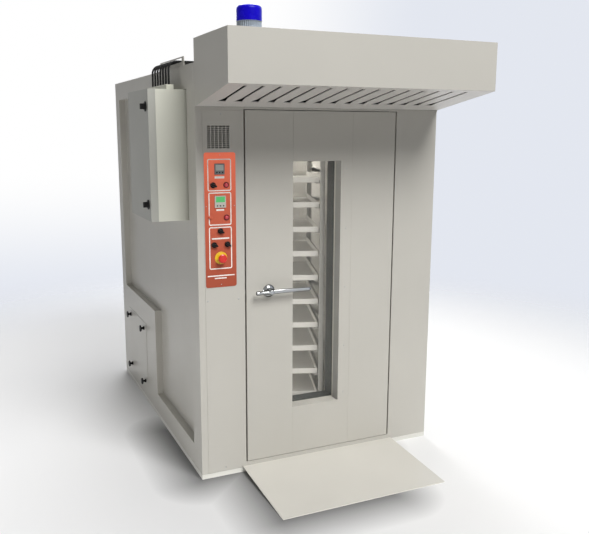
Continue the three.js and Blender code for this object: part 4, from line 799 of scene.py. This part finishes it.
def makeStartButton(setup):
    # A cap on a thin stem. The stem stays right of the printed frame's line, whose inner edge is the
    # frame's left plus the line's width, so x less the stem's radius is more than that.
    stem, foot = setup["stem"], setup["stemFoot"]
    knob = roundedProfile([
        (0, foot), (stem, foot), (stem, 3.0), (9.8, 3.2), (11, 4.4), (11, 7.4), (9.6, 8.8), (0, 9.8),
    ], 0.8)
    spot = (setup["x"], panelFaceY, setup["z"])
    finishPiece("startButtonCap", turnedSolid(knob, spot, "front", 40), "start_push", "fascia_orange",
                ("start_button",))


makeStartButton(startButton)

emergencyStop = {"x": 129, "z": 1277, "plate": 35}


def makeEmergencyStop(setup):
    # A plate with a collar that has a blind bore, and a mushroom whose neck moves in the bore.
    rim = setup["plate"]
    plate = roundedProfile([
        (0, 0), (rim, 0), (rim, 2.4), (19, 3.4), (17.4, 12), (15, 13), (8.4, 13), (8.4, 1.0), (0, 1.0),
    ], 1.0)
    head = roundedProfile([
        (0, 7.6), (7, 7.6), (7.2, 22), (15, 23), (24.2, 28), (25, 31), (24, 34.5), (17, 37.2), (0, 38),
    ], 1.6)
    spot = (setup["x"], panelFaceY, setup["z"])
    finishPiece("stopPlate", turnedSolid(plate, spot, "front", 64), "cabinet", "estop_yellow", ("estop_base",))
    finishPiece("stopMushroom", turnedSolid(head, spot, "front", 64), "stop_push", "estop_red", ("estop_button",))


makeEmergencyStop(emergencyStop)
print("controls made")


printedFrames = {
    "upper": (60, 193, 1640, 1811), "middle": (64, 192, 1456, 1633), "lower": (63.5, 193, 1216, 1447),
}
captionBars = [  # plain bars: left, right, foot, top
    (100, 154, 1707, 1719), (107, 151, 1534, 1543), (79, 178, 1380, 1388), (52, 206, 1176, 1182), (92, 160, 1162, 1168),
]
printLine = {"width": 5.6, "corner": 10, "front": -4.56, "back": -4.1}  # the film's face is at -4.3


def printedFrame(x0, x1, z0, z1, setup):
    # A rounded rectangle outline: the same quarter arcs taken at an outer and an inner radius,
    # as a thin closed band standing a hair off the film.
    turn = np.linspace(0, np.pi / 2, 8)
    centres = [(x1, z1, 0), (x0, z1, 1), (x0, z0, 2), (x1, z0, 3)]
    corner = setup["corner"]

    def outline(inset):
        rows = []
        for cx, cz, quarter in centres:
            angle = turn + quarter * np.pi / 2
            px = cx - corner if quarter in (0, 3) else cx + corner
            pz = cz - corner if quarter in (0, 1) else cz + corner
            rows.append(np.stack([px + (corner - inset) * np.cos(angle), pz + (corner - inset) * np.sin(angle)], -1))
        return np.vstack(rows)

    outer, inner = outline(0), outline(setup["width"])
    count = len(outer)
    levels = [(outer, setup["back"]), (outer, setup["front"]), (inner, setup["front"]), (inner, setup["back"])]
    points = np.vstack([np.stack([ring[:, 0], np.full(count, y), ring[:, 1]], -1) for ring, y in levels])
    faces = gridFaces(4, count, closeRows=True)[:, ::-1]
    return fromDrawing(points), faces.tolist()


bands = [printedFrame(*limits, printLine) for limits in printedFrames.values()]
bars = [boxSolid((x0, printLine["front"], z0), (x1, printLine["back"], z1), 0.15) for x0, x1, z0, z1 in captionBars]
finishPiece("fasciaPrint", merged(bands + bars), "cabinet", "fascia_orange", material=trimFinishes["print"],
            smooth=False)
print("fascia printed")


instruments = {  # x, z of the middle, width, height, and the heights of the screen's foot and top above the middle
    "controller": {"node": "temperature_controller", "box": (127, 1757, 56, 58), "screen": (-8, 23)},
    "timer": {"node": "bake_timer", "box": (129, 1583, 63, 65), "screen": (-3, 28)},
}
bezel = {"depth": 5.9, "border": 6, "keySpread": 0.55, "keyRise": 11}


def instrumentFace(name, setup, case, screen):
    # A moulded bezel with a sunk screen and a row of small keys under it.
    x, z, width, height = setup["box"]
    half, rise = width / 2, height / 2
    front, back = panelFaceY - bezel["depth"], panelFaceY
    body = boxSolid((x - half, front, z - rise), (x + half, back, z + rise), 1.4)
    finishPiece(f"{name}Case", body, "cabinet", "instrument_dark", (setup["node"],), case, smooth=False)
    low, high = setup["screen"]
    inset = half - bezel["border"]
    window = boxSolid((x - inset, front - 0.1, z + low), (x + inset, front + 1, z + high), 0.4)
    finishPiece(f"{name}Screen", window, "cabinet", "instrument_dark", material=screen, smooth=False)
    key = roundedProfile([(0, 0), (4.2, 0), (4.2, 0.9), (3.2, 1.3), (0, 1.4)], 0.3)
    spread, keyZ = half * bezel["keySpread"], z - rise + bezel["keyRise"]
    keys = [turnedSolid(key, (x + side * spread, front + 0.9, keyZ), "front", 20) for side in (-1, 0, 1)]
    finishPiece(f"{name}Keys", merged(keys), "cabinet", "black_plastic")


instrumentFace("controller", instruments["controller"], finishes["instrument_dark"], trimFinishes["greyDisplay"])
instrumentFace("timer", instruments["timer"], trimFinishes["timerCase"], trimFinishes["greenDisplay"])
print("instruments fitted")


hoodSlots = {
    "first": 99.5, "pitch": 89.3, "count": 15, "slot": 18, "front": -486, "rear": -128, "notch": 24, "notchLong": 78,
    "thick": 4.0,
}


def slottedSheet(setup):
    # One tile of sheet round each slot: six points on the tile's edge are joined to the six of its slot,
    # below and above. Heights follow the casing's foot: z falls towards the rear along a straight line.
    low, high = [np.array(corner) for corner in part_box("hood_baffle")]
    left, right = low[0] * 1000 + cabinet["width"] / 2, high[0] * 1000 + cabinet["width"] / 2
    front, rear = low[1] * 1000 + cabinet["depth"] / 2, high[1] * 1000 + cabinet["depth"] / 2
    thick, slope, foot = setup["thick"], hoodInside["slope"], low[2] * 1000
    middles = setup["first"] + setup["pitch"] * np.arange(setup["count"])
    edges = np.concatenate([[left], (middles[1:] + middles[:-1]) / 2, [right]])
    half, notch, knee = setup["slot"] / 2, setup["notch"], setup["rear"] - setup["notchLong"]
    tiles = []
    for middle, x0, x1 in zip(middles, edges[:-1], edges[1:]):
        rim = [(x0, front), (x1, front), (x1, knee), (x1, rear), (x0, rear), (x0, knee)]
        cut = [(middle - half, setup["front"]), (middle + half, setup["front"]), (middle + half, knee),
               (middle + notch, setup["rear"]), (middle - notch, setup["rear"]), (middle - half, knee)]
        plan = np.array(rim + cut)
        under = foot + (rear - plan[:, 1]) * slope
        tiles.append(np.vstack([np.column_stack([plan, under]), np.column_stack([plan, under + thick])]))
    faces = []
    for index in range(len(tiles)):
        base = 24 * index
        for i in range(6):
            j = (i + 1) % 6
            faces.append([base + i, base + 6 + i, base + 6 + j, base + j])
            faces.append([base + 12 + i, base + 12 + j, base + 18 + j, base + 18 + i])
            faces.append([base + 6 + i, base + 18 + i, base + 18 + j, base + 6 + j])
            # the outer edge shows at the front and rear, and at the two ends of the row of tiles
            if i in (0, 3) or (i in (4, 5) and index == 0) or (i in (1, 2) and index == len(tiles) - 1):
                faces.append([base + i, base + j, base + 12 + j, base + 12 + i])
    points = np.vstack(tiles)
    shared, spot = np.unique(points.round(4), axis=0, return_inverse=True)
    spot = spot.reshape(-1)
    return fromDrawing(shared), [[int(spot[i]) for i in face] for face in faces]


finishPiece("hoodSlottedSheet", slottedSheet(hoodSlots), "cabinet", "stainless", ("hood_baffle",),
            nodeFinishes["hood_baffle"], smooth=False)
print("hood sheet slotted")


beacon = {"x": 128, "y": -460, "foot": 2420.3, "radius": 59, "ribs": 36, "capRibs": 48, "capFoot": 2450.4}


def makeBeacon(setup):
    # A ribbed collar and a plain cap. Ribs cut the radius by a share that swings from 0 to full
    # between two heights: the share times (1 - cos(ribs t)) / 2.
    def ribs(count, share, low, high):
        return lambda angle, height: 1 - share * (0.5 - 0.5 * np.cos(count * angle)) * (height > low) * (height < high)

    spot, rim = (setup["x"], setup["y"], setup["foot"]), setup["radius"]
    ribbed = ribs(setup["ribs"], 0.05, 4, 28)
    collar = roundedProfile([
        (0, 0), (rim, 0), (rim, 4.5), (57.5, 5), (57.5, 26), (rim, 27), (rim, 29.8), (0, 29.8),
    ], 0.8)
    finishPiece("beaconCollar", turnedSolid(collar, spot, "z", 288, ribbed), "cabinet", "beacon_grey", ("beacon_base",))
    cap = roundedProfile([
        (0, 0), (58.9, 0), (58.9, 54), (57, 61), (51, 67), (40, 70.4), (20, 71.8), (0, 72),
    ], 3.0, 6)
    capSpot, fluted = (setup["x"], setup["y"], setup["capFoot"]), ribs(setup["capRibs"], 0.004, 8, 50)
    finishPiece("beaconCap", turnedSolid(cap, capSpot, "z", 240, fluted), "cabinet", "beacon_blue", ("beacon_dome",))


makeBeacon(beacon)
print("beacon made")


handle = {"x": 410, "z": 1069, "length": 243, "barrel": 92, "gripFront": -47.0, "barrelFront": -47.3}


def makeHandle(setup):
    # A rosette on the door, and on the lever's body a neck, a long flattened grip and a barrel end.
    spot = (setup["x"], -0.3, setup["z"])
    rose = roundedProfile([
        (0, 0), (36, 0), (36, 3.6), (33, 6.4), (28.8, 10.4), (24, 12.2), (21.5, 13.6), (17, 14), (0, 14),
    ], 1.6)
    finishPiece("handleRose", turnedSolid(rose, spot, "front", 72), "door", "chrome", ("handle_rosette",))
    neck = turnedSolid(roundedProfile([
        (0, 13.6), (13, 13.6), (12.2, 24), (12.6, 40), (15, 46), (15, 54), (12, 58.6), (0, 59),
    ], 2.0), spot, "front", 48)
    steps = np.linspace(0, 1, 44)
    # The grip leaves the hub, bows out a little and thins towards its tip, which a quarter circle rounds.
    path = np.stack([
        setup["x"] + 4 + steps * (setup["length"] - 4), setup["gripFront"] - 1.6 * np.sin(steps * np.pi),
        setup["z"] + 3.0 * np.sin(steps * np.pi) * (1 - steps),
    ], -1)
    turn = fullTurn(28)
    tip = np.sqrt(np.clip(1 - ((steps - 0.94) / 0.06).clip(0, 1) ** 2, 0.02, 1))
    tall = (13.0 - 2.2 * steps) * tip
    deep = (7.6 - 0.8 * steps) * tip
    section = np.stack([
        tall[:, None] * np.sign(np.sin(turn)) * np.abs(np.sin(turn)) ** 0.8,
        deep[:, None] * np.sign(np.cos(turn)) * np.abs(np.cos(turn)) ** 0.8,
    ], -1)
    grip = sweptSection(path, section, (0.0, 0.0, 1.0))
    barrelProfile = roundedProfile([
        (0, 0), (9.5, 0), (12, 3), (12, 20), (10.6, 22), (10.6, 60), (12, 62), (12, 84), (0, 84),
    ], 1.5)
    barrel = turnedSolid(barrelProfile, (setup["x"] - setup["barrel"], setup["barrelFront"], setup["z"]), "right", 36)
    finishPiece("handleLever", merged([neck, (fromDrawing(grip[0]), grip[1]), barrel]), "door_handle", "chrome",
                ("handle_lever",), sharp=50)


makeHandle(handle)
print("handle made")


coverKnobs = {"spots": [(1370, 146), (1370, 546), (1813, 146), (1813, 546)], "lobes": 6}


def coverKnob(y, z, setup):
    # A lobed hand knob: the rim's radius swings by a few percent, lobes times a turn.
    lobes = lambda angle, height: 1 + 0.028 * (np.cos(setup["lobes"] * angle) - 1) * (height > 22)
    profile = roundedProfile([
        (0, 2.6), (14, 2.6), (14, 7), (9, 11), (8, 23.4), (19, 24.2), (24, 26), (24, 33), (22, 35.4), (12, 36), (0, 36),
    ], 1.4)
    return turnedSolid(profile, (0.0, y, z), "left", 72, lobes)


for index, (y, z) in enumerate(coverKnobs["spots"], 1):
    finishPiece(f"coverKnob{index}", coverKnob(y, z, coverKnobs), f"cover_knob_{index}", "black_plastic",
                (f"access_knob_{index}",))


boxLatches = {
    "spots": {"lower": (229, 1558), "upper": (229, 2083)}, "face": -203.3, "disc": 27, "plate": 5, "boss": 19,
    "bossFoot": 14, "grip": (30.4, 12), "gripFrom": 13, "proud": 30,
}


def boxLatch(y, z, setup):
    # A flat disc, a boss that narrows away from the lid and an upright bar grip across it.
    top = setup["boss"] * 0.8
    base = turnedSolid(roundedProfile([
        (0, 0), (setup["disc"], 0), (setup["disc"], setup["plate"] - 1.2), (setup["disc"] - 1.6, setup["plate"]),
        (setup["boss"], setup["plate"]), (top, setup["bossFoot"]), (0, setup["bossFoot"]),
    ], 1.0), (setup["face"], y, z), "left", 48)
    tall, deep = setup["grip"]
    low = (setup["face"] - setup["proud"], y - deep / 2, z - tall / 2)
    high = (setup["face"] - setup["gripFrom"], y + deep / 2, z + tall / 2)
    return merged([base, boxSolid(low, high, 1.8)])


for latchName, (y, z) in boxLatches["spots"].items():
    finishPiece(f"{latchName}BoxLatch", boxLatch(y, z, boxLatches), f"{latchName}_box_latch", "black_plastic",
                (f"box_latch_{latchName}",))
print("latches and cover knobs made")


screws = {  # face: where the heads stand; spots: (x, z) of each
    "strip": {"face": -1.2, "radius": 4.2, "spots": [(898, z) for z in (395, 690, 1050, 1400, 1745)]},
    "column": {"face": -2.3, "radius": 4.6, "spots": [(140, 2044), (140, 50), (52, 1040), (229, 1040)]},
    "fascia": {"face": -4.0, "radius": 2.6, "spots": [(130, 1832), (51, 1560), (209, 1560), (130, 1130)]},
}


def panHeads(setup):
    # Low domed screw heads: the height falls off slowly from the middle, then steeply at the rim.
    dome = setup["radius"] * np.array([(0, 0), (1, 0), (0.98, 0.25), (0.8, 0.5), (0.45, 0.62), (0, 0.64)])
    profile = roundedProfile(dome, 0.3, 3)
    return [turnedSolid(profile, (x, setup["face"], z), "front", 20) for x, z in setup["spots"]]


columnHeads = panHeads(screws["column"]) + panHeads(screws["fascia"])
finishPiece("stripScrews", merged(panHeads(screws["strip"])), "door", "stainless", material=trimFinishes["screw"])
finishPiece("columnScrews", merged(columnHeads), "cabinet", "stainless", material=trimFinishes["screw"])
print("screws driven")


studio = {
    "floor": (0.90, 0.90, 0.90), "floorShadedLeft": (0.82, 0.82, 0.825), "reach": 6.2, "fadeFrom": 2.2, "fadeTo": 5.4,
    "dim": 0.115, "white": (1.0, 1.0, 1.0), "blue": (0.77, 0.80, 0.87), "leftShade": 0.4,
    "shade": 0.96, "shadeReach": 0.29,
    # middle and half size of the cabinet's and the ramp's oblong on the floor, which the shade starts from
    "feet": [((-0.226, -0.674), (0.526, 0.374)), ((-0.18, -1.34), (0.325, 0.29))],
    # where the backdrop turns: towards +x from white to blue, below the level from white to blue,
    # and towards -x from full light to leftShade
    "blueRight": (0.36, 0.56), "blueLow": (-0.05, -0.23), "shadeLeft": (0.0, -0.22),
}


def studioFloor(setup):
    # A round floor, rings by spokes: x = r cos t, y = r sin t. It fades into the backdrop at its rim.
    radius = np.linspace(0.02, setup["reach"], 40)[:, None]
    angle = fullTurn(96)[None, :]
    points = np.stack([radius * np.cos(angle), radius * np.sin(angle), 0 * radius * angle], -1).reshape(-1, 3)
    faces = gridFaces(40, 96).tolist() + [list(range(96))]
    bench = MaterialBench("studioPaper")
    cloud = bench.noise(0.5, 2.0)
    x, y, z = bench.axes()
    # painted shade: the paper is darker towards -x
    paper = bench.mixed(bench.level(x, -1.2, 0.5, True), setup["floorShadedLeft"], setup["floor"])
    paper = bench.mixed(bench.spread(cloud, 0.0, 0.06), paper, near(setup["floor"], 0.8))
    # Painted shadow: seen by the camera, the paper darkens close round the oven, by the distance from two oblongs: the
    # root of the summed squares of what |place - middle| - half size leaves above nought on each axis.
    away = []
    for middle, half in setup["feet"]:
        squares = []
        for axis, centre, reach in zip((x, y), middle, half):
            off = bench.reckon("ABSOLUTE", bench.reckon("SUBTRACT", axis, centre), 0.0)
            gap = bench.reckon("MAXIMUM", bench.reckon("SUBTRACT", off, reach), 0.0)
            squares.append(bench.reckon("MULTIPLY", gap, gap))
        away.append(bench.reckon("SQRT", bench.reckon("ADD", *squares), 0.0))
    nearest = bench.reckon("MINIMUM", *away)
    shade = bench.spread(bench.level(nearest, 0.0, setup["shadeReach"]), setup["shade"], 0.0)
    seen = bench.add("ShaderNodeLightPath").outputs["Is Camera Ray"]
    shade = bench.reckon("MULTIPLY", shade, seen)
    bench.paint(bench.mixed(shade, paper, near(setup["floor"], 0.2)))
    reach = bench.add("ShaderNodeVectorMath", operation="LENGTH")
    bench.wire(bench.place, reach.inputs[0])
    faded = bench.level(reach.outputs["Value"], setup["fadeFrom"], setup["fadeTo"], True)
    bench.wire(bench.reckon("SUBTRACT", 1.0, faded), bench.shader.inputs["Alpha"])
    bench.set(Roughness=0.7, Specular_IOR_Level=0.1)
    floor = addPiece("studioFloor", points, faces, bench.material)


studioFloor(studio)


def studioWorld(setup):
    # Seen by the camera, mirrors and clear pieces: white, turning a pale blue to the right and low down.
    # As light on the object: an even dim grey.
    world = bpy.data.worlds.new("studioWorld")
    world.use_nodes = True
    bench = NodeBench(world.node_tree, "Generated")
    dim = bench.tree.nodes["Background"]
    bench.feed(dim.inputs["Color"], setup["white"])
    bench.feed(dim.inputs["Strength"], setup["dim"])
    x, y, z = bench.axes()
    blue = bench.reckon(
        "MAXIMUM", bench.level(x, *setup["blueRight"], True), bench.level(z, *setup["blueLow"], True)
    )
    rays = bench.add("ShaderNodeLightPath").outputs
    plain = bench.spread(bench.level(x, *setup["shadeLeft"]), 1.0, setup["leftShade"])
    bright = bench.add("ShaderNodeBackground")
    bench.wire(bench.reckon("MAXIMUM", plain, rays["Is Camera Ray"]), bright.inputs["Strength"])
    bench.wire(bench.mixed(blue, setup["white"], setup["blue"]), bright.inputs["Color"])
    kinds = [rays[kind] for kind in ("Is Camera Ray", "Is Glossy Ray", "Is Transmission Ray")]
    choice = bench.add("ShaderNodeMixShader")
    bench.wire(bench.chained("MAXIMUM", kinds), choice.inputs[0])
    bench.wire(dim.outputs["Background"], choice.inputs[1])
    bench.wire(bright.outputs["Background"], choice.inputs[2])
    bench.wire(choice.outputs["Shader"], bench.tree.nodes["World Output"].inputs["Surface"])
    bpy.context.scene.world = world


studioWorld(studio)
print("studio set")
